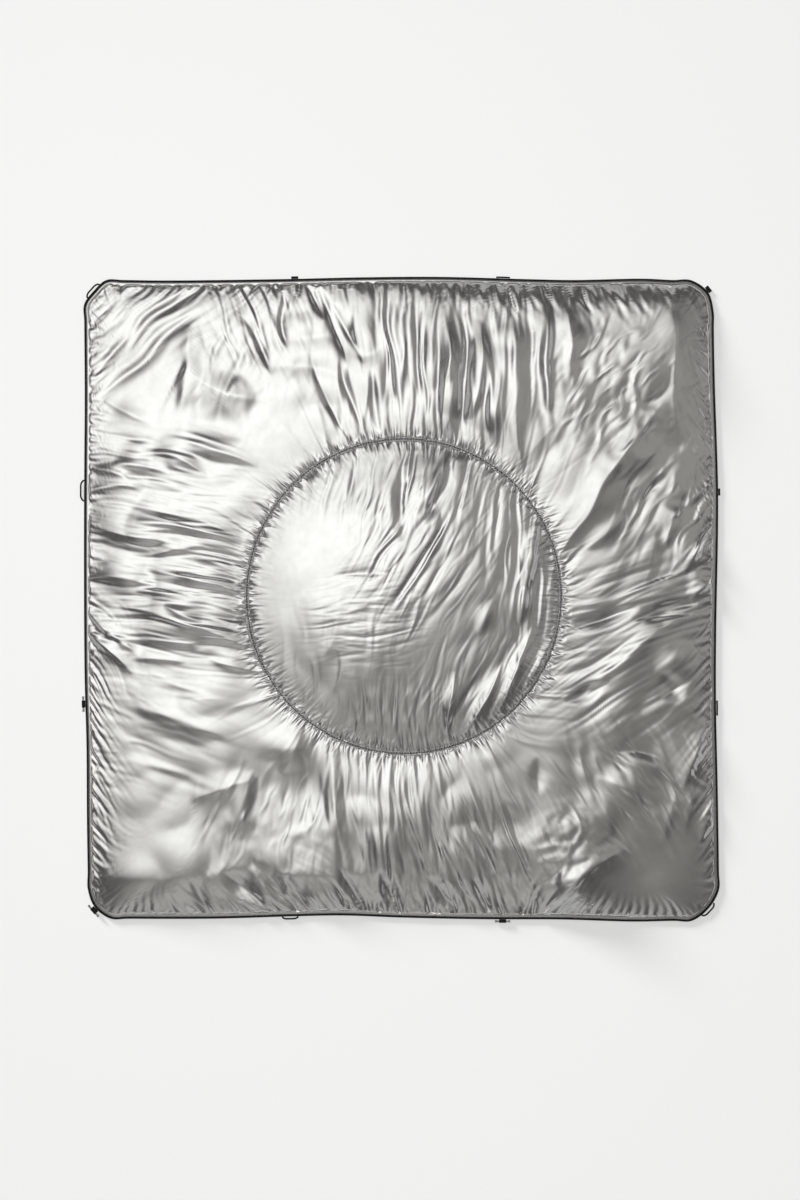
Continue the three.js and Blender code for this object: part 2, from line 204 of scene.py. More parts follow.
# How the cloth settles: limp near the stitching, and pushed back a little by the filling each round
MOMENTUM = 0.9
GATHERS = {"stiffness": 0.12, "from": 6.0, "to": 30.0}
DIAGONAL_STIFFNESS = 0.7
FILLING_PUSH = 0.004
LOWEST_CLOTH = 1.0

# How much larger the cloth is cut than the line that holds it, at that line, and where the folds have begun
SEAM_EASE = {"surround": 0.12, "disc": 0.07, "reach": 7.0}
HEM_EASE = {"amount": 0.03, "reach": 16.0}
FOLD_START = 2.5

# A corner's turn is spread, on each side of it, over the length of the whole edge divided by this
CORNER_SHARE = 24

# Wide unevenness of the filling, and how far folds wander from their lines, with shortest and longest waves
UNEVENNESS = {
    "surround": 2.0, "disc": 0.8, "sharpness": 0.35, "mean": 0.8, "waves": (110, 300), "fade": 110.0,
}
WANDER = {"distance": 2.2, "waves": (80, 260)}
WAVE_COUNT = 16
LAST_PHASE = 7.0
SEED = 11

# Creased areas: middle and half size, the creases' direction in degrees, their length, width and steepness
CREASED_AREAS = [
    # x, y, half_x, half_y, turn, length, width, steepness
    # Surround, clockwise from the top left corner
    (-560, 610, 140, 100, 38, 200, 20, 0.3),
    (-670, 540, 40, 130, 42, 90, 12, 0.26),
    (-380, 480, 150, 110, 65, 120, 40, 0.2),
    (-320, 610, 120, 90, 110, 140, 26, 0.3),
    (120, 530, 260, 170, 91, 330, 46, 0.42),
    (400, 665, 240, 45, -62, 110, 18, 0.44),
    (470, 450, 120, 150, 60, 90, 46, 0.28),
    (660, 430, 45, 180, -66, 180, 16, 0.16),
    (590, 190, 120, 130, 58, 130, 42, 0.36),
    (540, -10, 170, 90, 20, 220, 28, 0.32),
    (480, -200, 150, 100, 33, 200, 22, 0.34),
    (500, -410, 170, 130, -50, 130, 44, 0.22),
    (370, -560, 90, 90, 40, 70, 32, 0.24),
    (170, -570, 150, 140, -66, 200, 26, 0.36),
    (-30, -510, 160, 130, -84, 220, 28, 0.32),
    (-260, -660, 230, 50, -44, 130, 26, 0.4),
    (-300, -500, 160, 110, 75, 110, 40, 0.18),
    (-670, -400, 40, 230, -64, 190, 16, 0.26),
    (-540, -300, 150, 130, -20, 200, 40, 0.16),
    (-520, 40, 200, 210, -8, 230, 26, 0.3),
    (-540, 300, 170, 80, -8, 160, 26, 0.28),
    # Disc
    (20, 240, 180, 100, 80, 180, 34, 0.28),
    (40, 90, 140, 140, 58, 150, 33, 0.28),
    (-80, -40, 110, 100, 6, 100, 17, 0.24),
    (270, 90, 80, 190, 84, 180, 33, 0.32),
    (190, -190, 130, 120, 64, 170, 30, 0.2),
    (0, -270, 150, 80, 88, 110, 20, 0.3),
    (-120, -170, 130, 150, 86, 200, 60, 0.12),
]

# Creases that leave the circle outward: at an angle round it, their turn from the ray, steepness and reach
FANS = [
    (0, 24, 0.26, 60), (30, 30, 0.22, 60), (58, 28, 0.24, 160), (90, 2, 0.24, 200), (112, -4, 0.22, 160),
    (130, 0, 0.2, 40), (150, 4, 0.24, 70), (172, -4, 0.3, 180), (195, -28, 0.3, 180), (215, -15, 0.26, 90),
    (232, 0, 0.26, 60), (250, 20, 0.32, 150), (270, 6, 0.32, 190), (290, 3, 0.3, 170), (312, 25, 0.26, 80),
    (338, 40, 0.28, 70),
]
FAN_SIZES = {"length": 230, "count": 64}

# Small gathers at the circle: length, count all the way round, steepness and reach
SEAM_GATHERS = {"length": 50, "count": 192, "steepness": 1.0, "reach": 15}

# Gathers at the hem: length and count, and at shares of the way round from the top left corner their slant
# from straight inward in degrees, steepness and reach
HEM_GATHERS = {"length": 90, "count": 320}
HEM_STATIONS = [
    # share, slant, steepness, reach
    (0.0, -45, 0.3, 26), (0.05, -45, 0.34, 30), (0.07, -20, 0.4, 36), (0.1, 13, 0.4, 42),
    (0.12, 8, 0.5, 42), (0.15, 6, 0.8, 46), (0.2, 14, 0.9, 50), (0.22, 36, 0.8, 46),
    (0.245, 20, 0.3, 26), (0.27, -50, 0.28, 26), (0.33, -55, 0.28, 26), (0.36, 0, 0.3, 26),
    (0.38, 45, 0.34, 34), (0.44, 52, 0.36, 40), (0.48, 55, 0.24, 24), (0.52, -20, 0.2, 20),
    (0.55, -40, 0.6, 50), (0.58, 20, 0.85, 56), (0.63, 10, 0.75, 50), (0.66, 40, 0.7, 50),
    (0.71, 42, 0.5, 44), (0.735, 0, 0.16, 20), (0.76, -50, 0.4, 46), (0.83, -60, 0.44, 50),
    (0.855, -42, 0.42, 40), (0.875, -6, 0.38, 36), (0.92, 2, 0.38, 36), (0.945, -14, 0.38, 36),
    (0.965, 42, 0.36, 40),
]

# Noise that makes the creases: cells before it repeats, where it starts in a cell, height, lean and bluntness
# of the crests, and how much finer and lower the creases among them are
CREASE_NOISE = {
    "cells": 32, "start": 0.5, "crest": 0.2, "lean": 0.7, "bluntness": 0.05, "finer": 2, "finer_share": 0.36,
}

# A creased area fades by this power of its squared distance in half sizes, and ends at that squared distance
AREA_FADE = {"power": 1.5, "end": 4}

# A main fold's form: how many widths it is felt, its width at the tips, how far a full lean shifts its flanks
# and sharpens its crest, and how its height fades to the tips
FOLD_FORM = {"felt": 1.6, "tips": 0.3, "shift": 0.5, "crispness": 1.1, "fade": 1.2}

# Dark and light tints, and for each black textile the scale and depth of its weave and its light tint
SILVER_TINTS = (0.76, 0.757, 0.745), (0.83, 0.829, 0.822)
THREAD_TINTS = (0.09, 0.09, 0.089), (0.2, 0.2, 0.197)
PLASTIC_TINTS = (0.4, 0.405, 0.4), (0.5, 0.505, 0.5)
BLACK = (0.006, 0.006, 0.0065)
TEXTILES = {
    "binding_tape": (330.0, 0.0004, (0.02, 0.02, 0.0205)),
    "loop_cord": (520.0, 0.0003, (0.018, 0.018, 0.0185)),
    "webbing": (400.0, 0.0004, (0.022, 0.022, 0.0225)),
}

# Range that the noise in a material mostly stays in
NOISE_RANGE = (0.3, 0.7)

# The stage, in metres. The camera looks straight down: its place, the picture's height, the sensor
CAMERA_SPOT = (0.0, -0.001, 6.0)
FRAME_HEIGHT = 2.64
SENSOR = 36.0

# The light panel above, with soft bright areas
PANEL_HEIGHT = 2.2
PANEL_HALF = 4.5
PANEL_GLOW = 0.075
WARM_GLOW = (1.0, 0.965, 0.915)
WHITE_GLOW = (1.0, 1.0, 0.985)
BRIGHT_AREAS = [
    # x, y, full radius, outer radius, brightness
    (-0.85, 0.65, 0.15, 2.15, 1.17),
    (0.4, 1.0, 0.2, 1.3, 0.2),
    (0.3, -0.3, 0.4, 3.0, 0.14),
    (2.5, 0.7, 0.6, 1.7, 0.2),
    (-0.3, -3.0, 0.5, 2.2, 0.36),
]

# A pale band round the studio under the panel, which the cloth mirrors when seen from the side: its glow, the
# glow round it, and the sines of the angles above the floor over which it begins and ends
WALLS = {"pale": 0.5, "dark": 0.1, "begins": (0.1, 0.2), "ends": (0.44, 0.54)}

# The floor, and its low light: degrees above the floor, and degrees round from +X that it comes from
FLOOR = {"half": 30.0, "height": -0.0003, "shade": 0.42, "glow": 0.515}
FLOOR_LIGHT = {"energy": 7.6, "elevation": 12.0, "from": 135.0, "softness": 12.0}

# The main folds: both ends, bow to the left of their run, width, rise or dip, and lean to a wide left flank
FOLDS = [
    # x1, y1, x2, y2, bow, width, rise, lean
    # Top left corner
    (-425, 690, -610, 540, -17, 28, -8, 0.6),
    (-440, 640, -665, 430, -5, 30, -9, 0.6),
    (-575, 610, -684, 480, -2, 24, -6, 0.6),
    (-462, 600, -492, 395, 4, 60, 10, 0.7),
    (-352, 622, -284, 490, 7, 30, -8, 0.6),
    (-260, 680, -246, 550, -13, 26, -5, 0.6),
    (-470, 500, -290, 425, -14, 66, 6, 0.6),
    (-480, 395, -340, 360, 0, 90, -6, 0),
    (-650, 436, -545, 382, -4, 30, 4, 0.6),
    # Left side
    (-530, 350, -310, 292, 6, 60, 9, 0.7),
    (-566, 316, -425, 268, 14, 44, 9, 0.7),
    (-640, 296, -515, 276, 6, 42, 9, 0.7),
    (-690, 278, -600, 255, 12, 34, 7, 0.7),
    (-690, 236, -565, 240, 4, 36, 7, 0.7),
    (-694, 148, -478, 112, 8, 74, 14, 0.7),
    (-582, 170, -350, 118, 8, 60, 13, 0.7),
    (-545, 100, -430, 110, 0, 34, 7, 0.7),
    (-690, 44, -540, 28, 8, 56, 12, 0.7),
    (-565, 66, -346, 4, 5, 54, 12, 0.7),
    (-590, 18, -470, 4, 0, 44, 9, 0.7),
    (-622, -14, -316, -116, 8, 80, 18, 0.7),
    (-525, -18, -440, -52, 0, 34, 7, 0.7),
    (-612, -80, -440, -108, 8, 50, 9, 0.7),
    (-600, -134, -470, -140, 3, 26, 5, 0.7),
    (-425, -134, -318, -160, -6, 38, 6, 0.7),
    (-688, -34, -574, -129, -4, 34, 8, 0.7),
    (-692, -70, -586, -166, -4, 38, 9, 0.7),
    (-604, -232, -322, -332, 6, 110, 9, 0.8),
    # Top side
    (-205, 694, -176, 610, 0, 26, -7, 0.6),
    (-182, 690, -114, 498, -4, 26, -8, 0.6),
    (-156, 650, -86, 510, 0, 32, -9, 0.6),
    (-200, 535, -118, 348, -6, 28, -7, 0.6),
    (-140, 518, -86, 372, 0, 26, -6, 0.6),
    (-72, 505, -45, 358, 0, 24, -6, 0),
    (0, 693, 0, 510, 4, 24, -6, 0),
    (20, 650, 22, 415, 0, 32, 6, -0.3),
    (95, 662, 102, 345, 4, 56, 14, -0.6),
    (174, 610, 150, 390, 12, 56, 13, -0.6),
    (211, 500, 205, 326, 0, 42, 11, -0.6),
    (246, 640, 262, 266, -8, 58, 15, -0.6),
    (319, 640, 322, 398, 0, 50, 13, -0.6),
    (366, 680, 372, 470, 0, 44, 11, -0.6),
    # Top right corner
    (588, 770, 606, 330, 0, 190, 18, -0.8),
    (580, 440, 345, 88, -8, 125, 21, -0.8),
    (575, 358, 480, 258, 0, 44, 6, -0.3),
    (482, 182, 405, 100, 0, 40, 7, -0.3),
    # Right side
    (684, 152, 612, 54, 0, 48, 11, -0.7),
    (692, 58, 630, -4, 0, 40, 9, -0.7),
    (614, 218, 576, 112, 0, 40, 8, -0.7),
    (355, -75, 522, -22, 4, 36, -10, 0),
    (500, -50, 640, -36, 0, 24, -6, 0.6),
    (550, -24, 650, -12, 0, 26, -7, 0),
    (628, -32, 402, -214, -10, 54, 12, 0.6),
    (354, -230, 456, -186, 0, 32, -9, 0),
    (645, -106, 548, -165, 0, 64, 9, 0.4),
    (568, -158, 610, -232, 0, 60, -7, 0),
    # Bottom right corner
    (424, -396, 560, -452, 4, 84, 8, 0.65),
    (426, -396, 470, -536, 0, 84, 8, -0.65),
    (462, -336, 590, -372, 18, 44, -8, 0.6),
    (668, -265, 606, -430, 8, 46, 10, -0.7),
    (688, -430, 656, -540, 0, 26, 6, -0.3),
    (218, -448, 292, -545, 0, 64, -5, 0),
    (298, -345, 302, -430, 0, 30, -4, 0.3),
    (598, -410, 570, -545, 4, 46, 5, -0.6),
    (642, -385, 622, -520, 0, 40, 4, -0.6),
    (100, -378, 234, -648, -8, 18, -3, 0.3),
    (130, -380, 262, -650, -8, 22, 4, 0.5),
    (288, -702, 496, -540, 6, 230, 31, 0.9),
    # Bottom left corner
    (-470, -438, -318, -398, 0, 110, 10, 0.8),
    (-332, -380, -352, -535, 0, 64, 8, -0.8),
    (-226, -330, -234, -520, 24, 170, -14, -0.8),
    (-212, -282, -262, -385, 0, 64, 9, -0.5),
    (-152, -340, -140, -590, 0, 80, 11, -0.6),
    (-60, -366, -42, -660, 0, 150, 15, 0.8),
    (-700, -604, -330, -582, -20, 160, 12, 0.4),
    (-390, -580, -20, -594, -20, 150, 12, 0.45),
    (0, -620, 300, -592, -8, 120, 9, 0.4),
    (-400, -596, -292, -694, 6, 28, -9, 0.4),
    (-334, -568, -200, -698, -8, 32, -10, 0.4),
    (-262, -600, -196, -696, 0, 28, -8, 0.4),
    (-470, -618, -410, -698, 0, 26, -7, 0.4),
    (-142, -590, -74, -696, 4, 28, -9, 0.4),
    (-54, -596, 4, -698, 0, 28, -9, 0.4),
    (60, -604, 112, -700, 5, 28, -9, 0.4),
    (150, -614, 196, -702, 5, 26, -8, 0.4),
    # Disc
    (-97, 318, -140, 160, 0, 32, -2, 0.5),
    (-53, 325, -80, 185, -4, 34, -3, 0.5),
    (0, 290, -3, 122, 0, 38, -7, 0.3),
    (121, 321, 25, 178, 0, 54, 8, -0.4),
    (112, 310, 48, 158, 6, 36, -8, 0),
    (-162, 45, -20, 50, 8, 20, -2.5, 0),
    (296, 162, 266, 5, 4, 36, 9, -0.3),
    (270, 22, 254, -58, 0, 30, 8, -0.3),
    (200, -3, 166, -82, 0, 28, 6, -0.3),
    (286, -60, 194, -272, 8, 50, 14, 0.7),
    (222, -140, 126, -304, 8, 46, 13, 0.7),
    (114, -160, 98, -304, 0, 36, 10, 0.7),
    (334, -72, 260, -215, 6, 38, 8, 0.7),
    (-260, -60, 60, -110, 0, 230, 6, 0),
]

random = np.random.default_rng(SEED)


def turns(count):
    """So many angles evenly round a circle."""
    return np.linspace(0, 2 * math.pi, count, endpoint=False)


def smooth(value, low, high):
    share = np.clip((value - low) / (high - low), 0, 1)
    return share * share * (3 - 2 * share)


# The outline

def left_of(start, end):
    along = (end - start) / np.linalg.norm(end - start)
    return np.array([-along[1], along[0]])


def edge_points():
    """Points that the middle line of the binding runs through, clockwise from the top left."""
    points = []
    for k, (start, end, bulge, bows) in enumerate(EDGES):
        start, end = np.array(start, float), np.array(end, float)
        after = np.array(EDGES[(k + 1) % len(EDGES)][0], float)
        for share, bow in [(0, 0), (EDGE_EASE, 0), *bows, (1 - EDGE_EASE, 0), (1, 0)]:
            points.append(start + (end - start) * share + left_of(start, end) * bow)
        points.append((end + after) / 2 + left_of(end, after) * bulge)
    return np.array(points)


def with_ends(points, closed):
    """Points with those before the first and after the last, which go round or straight on."""
    if closed:
        return np.concatenate([points[-1:], points, points[:2]])
    return np.concatenate([2 * points[:1] - points[1:2], points, 2 * points[-1:] - points[-2:-1]])


def blend(start, end, t, low, high):
    return (high - t) / (high - low) * start + (t - low) / (high - low) * end


def round_curve(points, steps, closed):
    """A centripetal Catmull-Rom curve through the points, with so many steps between two of them."""
    points = with_ends(points, closed)
    curve = []
    for p0, p1, p2, p3 in zip(points, points[1:], points[2:], points[3:]):
        t1 = np.linalg.norm(p1 - p0) ** 0.5
        t2 = t1 + np.linalg.norm(p2 - p1) ** 0.5
        t3 = t2 + np.linalg.norm(p3 - p2) ** 0.5
        t = np.linspace(t1, t2, steps, endpoint=False)[:, None]
        first = blend(p0, p1, t, 0, t1)
        second = blend(p1, p2, t, t1, t2)
        third = blend(p2, p3, t, t2, t3)
        curve.append(blend(blend(first, second, t, 0, t2), blend(second, third, t, t1, t3), t, t1, t2))
    curve.append(points[1:2] if closed else points[-2:-1])
    return np.concatenate(curve)


def gaps(line):
    """Distances from each point of a line to the next."""
    return np.linalg.norm(np.diff(line, axis=0), axis=1)


def evenly(curve, count, closed):
    """So many evenly spaced points on a line."""
    run = np.concatenate([[0], np.cumsum(gaps(curve))])
    stops = np.linspace(0, run[-1], count, endpoint=not closed)
    return np.stack([np.interp(stops, run, axis) for axis in curve.T], axis=1)


def outward_of(line):
    along = np.roll(line, -1, axis=0) - np.roll(line, 1, axis=0)
    along /= np.linalg.norm(along, axis=1)[:, None]
    return np.stack([-along[:, 1], along[:, 0]], axis=1)


EDGE_LINE = evenly(round_curve(edge_points(), EDGE_CURVE_STEPS, closed=True), SURROUND_COLUMNS, closed=True)
OUTWARD = outward_of(EDGE_LINE)
EDGE_LENGTH = np.linalg.norm(EDGE_LINE - np.roll(EDGE_LINE, 1, axis=0), axis=1).sum()


def beside_edge(distance):
    """The closed line so far outside the middle line of the binding."""
    return EDGE_LINE + OUTWARD * distance


def inside_binding(distance):
    """The closed line so far inside the cloth's edge, which is just clear of the binding."""
    return beside_edge(-BINDING["width"] / 2 - PIECE_GAP - distance)


def frame_shift():
    """From the layout to the frame, whose origin is under the middle of the whole part."""
    low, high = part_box("edge_binding")
    middle = np.array((low + high) / 2)[:2] / MM
    line = beside_edge(BINDING["width"] / 2)
    return np.array([*(middle - (line.min(0) + line.max(0)) / 2), 0.0])


SHIFT = frame_shift()


# The folds and the cut of the cloth

def some_waves(shortest, longest):
    """Seeded waves over the cloth, as rows of wave numbers in x and y, phase and height."""
    turn = random.uniform(0, 2 * math.pi, WAVE_COUNT)
    wave = np.exp(random.uniform(math.log(shortest), math.log(longest), WAVE_COUNT))
    phase = random.uniform(0, LAST_PHASE, WAVE_COUNT)
    height = wave / np.sqrt((wave**2).sum() / 2)
    number = 2 * math.pi / wave
    return np.column_stack([number * np.cos(turn), number * np.sin(turn), phase, height])


def wave_height(x, y, waves):
    return sum(height * np.sin(across * x + along * y + phase) for across, along, phase, height in waves)


def noise_slopes():
    """Seeded directions in which smooth noise rises at the corners of its cells."""
    return random.uniform(0, 2 * math.pi, (CREASE_NOISE["cells"], CREASE_NOISE["cells"]))


def smooth_noise(u, v, slopes):
    """Noise that is zero at the corners of its cells and rises and falls between them."""
    column, row = np.floor(u).astype(int), np.floor(v).astype(int)
    u, v = u - column, v - row

    def from_corner(across, along):
        turn = slopes[(column + across) % len(slopes), (row + along) % len(slopes)]
        return np.cos(turn) * (u - across) + np.sin(turn) * (v - along)

    ease_u, ease_v = (share**3 * (share * (6 * share - 15) + 10) for share in (u, v))
    low = from_corner(0, 0) * (1 - ease_u) + from_corner(1, 0) * ease_u
    high = from_corner(0, 1) * (1 - ease_u) + from_corner(1, 1) * ease_u
    return low * (1 - ease_v) + high * ease_v


def creases(along, across, slopes):
    """Long creases, one unit long and wide, that lean and have sharp crests, with finer ones among them."""
    rise = np.zeros_like(along)
    start = CREASE_NOISE["start"]
    for finer, share in ((1.0, 1.0), (CREASE_NOISE["finer"], CREASE_NOISE["finer_share"])):
        u, v = finer * (along + start), finer * across + start
        swell = smooth_noise(u, v, slopes)
        swell = smooth_noise(u, v + CREASE_NOISE["lean"] * swell, slopes)
        rise += share * (CREASE_NOISE["crest"] - np.sqrt(swell**2 + CREASE_NOISE["bluntness"] ** 2))
    return rise


AREA_SLOPES = [noise_slopes() for _ in CREASED_AREAS]
FAN_SLOPES, SEAM_SLOPES, HEM_SLOPES = (noise_slopes() for _ in range(3))
FILLING_WAVES = some_waves(*UNEVENNESS["waves"])
WANDER_X, WANDER_Y = (some_waves(*WANDER["waves"]) for _ in range(2))


def in_circle(x, y):
    return math.hypot(x - CIRCLE[0], y - CIRCLE[1]) < CIRCLE_RADIUS


def creased_areas(x, y, inside):
    """How far the creased areas inside or outside the circle lift the cloth at each point."""
    rise = np.zeros_like(x)
    for area, slopes in zip(CREASED_AREAS, AREA_SLOPES):
        middle_x, middle_y, half_x, half_y, turn, length, width, steepness = area
        if in_circle(middle_x, middle_y) != inside:
            continue
        away = ((x - middle_x) / half_x) ** 2 + ((y - middle_y) / half_y) ** 2
        near = away < AREA_FADE["end"]
        from_x, from_y = x[near] - middle_x, y[near] - middle_y
        cos, sin = math.cos(math.radians(turn)), math.sin(math.radians(turn))
        along, across = (from_x * cos + from_y * sin) / length, (from_y * cos - from_x * sin) / width
        fade = np.exp(-away[near] ** AREA_FADE["power"])
        rise[near] += steepness * width * fade * creases(along, across, slopes)
    return rise


def at_stations(table, place, period):
    """A table's columns at places between its stations, which run round and join up."""
    stations, *columns = zip(*table)
    return [np.interp(place, stations, column, period=period) for column in columns]


def round_creases(x, y, inside):
    """Creases that fan out from the circle, and small gathers on both sides of it."""
    from_x, from_y = x - CIRCLE[0], y - CIRCLE[1]
    radius = np.maximum(np.hypot(from_x, from_y), LEAST_RADIUS)
    angle = np.arctan2(from_y, from_x)
    away = np.abs(radius - CIRCLE_RADIUS)
    length, count, steepness, reach = SEAM_GATHERS.values()
    width = 2 * math.pi * CIRCLE_RADIUS / count
    gathers = creases(away / length, angle * CIRCLE_RADIUS / width, SEAM_SLOPES)
    rise = steepness * width * np.exp(-away / reach) * gathers
    if inside:
        return rise
    turn, steepness, reach = at_stations(FANS, np.degrees(angle), 360)
    length, count = FAN_SIZES.values()
    width = 2 * math.pi * CIRCLE_RADIUS / count
    swirl = angle - np.tan(np.radians(turn)) * np.log(radius / CIRCLE_RADIUS)
    fan = creases(away / length, swirl * CIRCLE_RADIUS / width, FAN_SLOPES)
    return rise + steepness * width * np.exp(-away / reach) * fan


def hem_gathers(run, from_edge):
    """Small gathers that slant away from the hem, from distances along it and from it."""
    length, count = HEM_GATHERS.values()
    width = EDGE_LENGTH / count
    slant, steepness, reach = at_stations(HEM_STATIONS, run / EDGE_LENGTH, 1)
    inward = from_edge * np.tan(np.radians(slant))
    gathers = creases(from_edge / length, (run - inward) / width, HEM_SLOPES)
    return steepness * width * np.exp(-from_edge / reach) * gathers


def main_folds(x, y, inside):
    """How far the main folds inside or outside the circle lift the cloth at each point."""
    rise = np.zeros_like(x)
    tips = FOLD_FORM["tips"]
    for x1, y1, x2, y2, bow, width, height, lean in FOLDS:
        if in_circle((x1 + x2) / 2, (y1 + y2) / 2) != inside:
            continue
        dx, dy = x2 - x1, y2 - y1
        length = math.hypot(dx, dy)
        margin = FOLD_FORM["felt"] * width + abs(bow)
        near = np.nonzero((x > min(x1, x2) - margin) & (x < max(x1, x2) + margin)
                          & (y > min(y1, y2) - margin) & (y < max(y1, y2) + margin))
        from_x, from_y = x[near] - x1, y[near] - y1
        share = np.clip((from_x * dx + from_y * dy) / length**2, 0, 1)
        aside = (from_y * dx - from_x * dy) / length - bow * 4 * share * (1 - share)
        taper = np.sin(math.pi * share)
        flank = 1 + FOLD_FORM["shift"] * lean * np.sign(aside)
        reach = width * (tips + (1 - tips) * taper) * flank
        roundness = 2 - FOLD_FORM["crispness"] * abs(lean)
        crest = np.exp(-np.abs(2 * aside / reach) ** roundness)
        rise[near] += height * taper ** FOLD_FORM["fade"] * crest
    return rise


def fold_rise(x, y, inside):
    """How far all folds but those at the hem lift the cloth, on lines that wander a little."""
    shift_x, shift_y = (WANDER["distance"] * wave_height(x, y, waves) for waves in (WANDER_X, WANDER_Y))
    x, y = x + shift_x, y + shift_y
    return main_folds(x, y, inside) + creased_areas(x, y, inside) + round_creases(x, y, inside)


def filling_rise(x, y, inside):
    """Wide hills and hollows of the filling, with rather sharp valleys between the hills."""
    swell = wave_height(x, y, FILLING_WAVES)
    height = UNEVENNESS["disc" if inside else "surround"]
    return height * (np.sqrt(swell**2 + UNEVENNESS["sharpness"] ** 2) - UNEVENNESS["mean"])


def spread(direction, amount):
    """Extra cloth in one direction, as the three different entries of a symmetric matrix."""
    across, along = direction
    return np.stack([amount * across**2, amount * across * along, amount * along**2], axis=-1)


def cut_length(start, end, extra):
    """Length that the cloth is cut to between two points of its shape."""
    gap = end - start
    length = np.linalg.norm(gap, axis=-1)
    x, y = (gap[:, :2] / length[:, None]).T
    return length * (1 + extra[:, 0] * x**2 + 2 * extra[:, 1] * x * y + extra[:, 2] * y**2)


# Settling the cloth

def thread_sets(rows, columns, closed):
    """Sets of point pairs joined along, across, diagonally and two apart, with no point twice in a set."""
    index = np.arange(rows * columns).reshape(rows, columns)
    row, column = np.indices((rows, columns))
    for down, across in ((0, 2), (2, 0), (1, 1), (1, -1), (1, 0), (0, 1)):
        other = np.roll(index, (-down, -across), axis=(0, 1))
        inside = row + down < rows
        if not closed:
            inside &= (column + across < columns) & (column + across >= 0)
        colour = (row // down if down else column // across) % 2
        for wanted in (0, 1):
            chosen = inside & (colour == wanted)
            yield down, across, index[chosen], other[chosen]


def make_springs(shape, pinned, extra, bend, closed):
    """The threads as pairs of points, with the length each wants and how far it moves its two ends."""
    springs = []
    free = (~pinned.ravel()).astype(np.float32)
    spots = shape.reshape(-1, 3)
    extra = extra.reshape(-1, 3)
    bend = bend.ravel()
    for down, across, first, second in thread_sets(*pinned.shape, closed):
        moving = free[first] + free[second] > 0
        first, second = first[moving], second[moving]
        bending = max(abs(down), abs(across)) == 2
        if bending:
            stiffness = bend[first]
        elif down and across:
            stiffness = DIAGONAL_STIFFNESS
        else:
            stiffness = 1.0
        shared = (stiffness / (free[first] + free[second])).astype(np.float32)
        rest = cut_length(spots[first], spots[second], (extra[first] + extra[second]) / 2).astype(np.float32)
        springs.append((first, second, rest, free[first] * shared, free[second] * shared, bending))
    return springs


def settle(points, pinned, springs, resting_height, rounds):
    """Every thread takes up its own length, bends resist, and the filling pushes the cloth back."""
    points = points.astype(np.float32)
    fixed = points[pinned]
    motion = np.zeros_like(points)
    for _ in range(rounds):
        before = points.copy()
        points += MOMENTUM * motion
        points[:, 2] += FILLING_PUSH * (resting_height - points[:, 2])
        points[pinned] = fixed
        for first, second, rest, share_first, share_second, bending in springs:
            gap = points[second] - points[first]
            stretch = 1 - rest / np.sqrt(np.einsum("ij,ij->i", gap, gap))
            if bending:
                np.minimum(stretch, 0, out=stretch)
            points[first] += gap * (stretch * share_first)[:, None]
            points[second] -= gap * (stretch * share_second)[:, None]
        np.maximum(points[:, 2], LOWEST_CLOTH, out=points[:, 2])
        motion = points - before
    return points


def made_finer(grid, axis, closed):
    """A grid with one more point between each two along an axis, on a smooth line through its neighbours."""
    grid = np.moveaxis(grid, axis, 0)
    padded = with_ends(grid, closed)
    middle = (9 * (padded[1:-2] + padded[2:-1]) - padded[:-3] - padded[3:]) / 16
    finer = np.empty((len(grid) + len(middle), *grid.shape[1:]), grid.dtype)
    finer[0::2] = grid
    finer[1::2] = middle
    return np.moveaxis(finer, 0, axis)


def settle_in_levels(make_grid, closed):
    """Settles the folded cloth, on coarser grids first, so that wide gathers form before small ones."""
    moved = None
    for coarseness, rounds, roughness, stiffness, gathers in LEVELS:
        flat, pinned, resting_height, extra, from_stitches = make_grid(coarseness)
        x, y = flat[..., 0], flat[..., 1]
        openness = smooth(from_stitches, GATHERS["from"], GATHERS["to"])
        bend = GATHERS["stiffness"] + (stiffness - GATHERS["stiffness"]) * openness
        resting_height = resting_height + smooth(from_stitches, 0, FOLD_START) * fold_rise(x, y, not closed)
        resting_height += smooth(from_stitches, 0, UNEVENNESS["fade"]) * filling_rise(x, y, not closed)
        shape = np.dstack([flat, np.maximum(resting_height, LOWEST_CLOTH)])
        start = shape.copy()
        if moved is not None:
            start += made_finer(made_finer(moved, 0, False), 1, closed)
        start[..., 2] += random.normal(0, roughness, pinned.shape) * (1 - openness)
        start[pinned] = shape[pinned]
        springs = make_springs(shape, pinned, extra * gathers, bend, closed)
        settled = settle(start.reshape(-1, 3), pinned.ravel(), springs, shape[..., 2].ravel(), rounds)
        moved = settled.reshape(shape.shape) - shape
    return shape + moved


def shoulder(distance, reach):
    """0 at a line of stitching, and close to 1 a few times the reach away from it."""
    return 1 - np.exp(-distance / reach)


def round_averaged(values):
    """Values round the edge, each averaged with those beside it so that corners are passed gently."""
    half = len(values) // CORNER_SHARE
    weights = np.hanning(2 * half + 1)
    joined = np.concatenate([values[-half:], values, values[:half]])
    return np.convolve(joined, weights / weights.sum(), "valid")


def surround_height(share, from_seam, from_edge):
    """How high the filling holds the surround, at shares of the way from the circle to the hem."""
    around = np.linspace(0, 1, from_edge.shape[1], endpoint=False)
    rise, hem_reach, seam_reach = at_stations(SURROUND_CROWN, around, 1)
    crown = rise * shoulder(from_seam, seam_reach) * shoulder(from_edge, hem_reach)
    at_seam, at_hem = shoulder(from_seam, SHOULDER["reach"]), shoulder(from_edge, SHOULDER["reach"])
    lip = (SHOULDER["seam"] * (1 - share) + SHOULDER["hem"] * share) * at_seam * at_hem
    return SEAM_HEIGHT * (1 - share) + HEM_HEIGHT * share + crown + lip


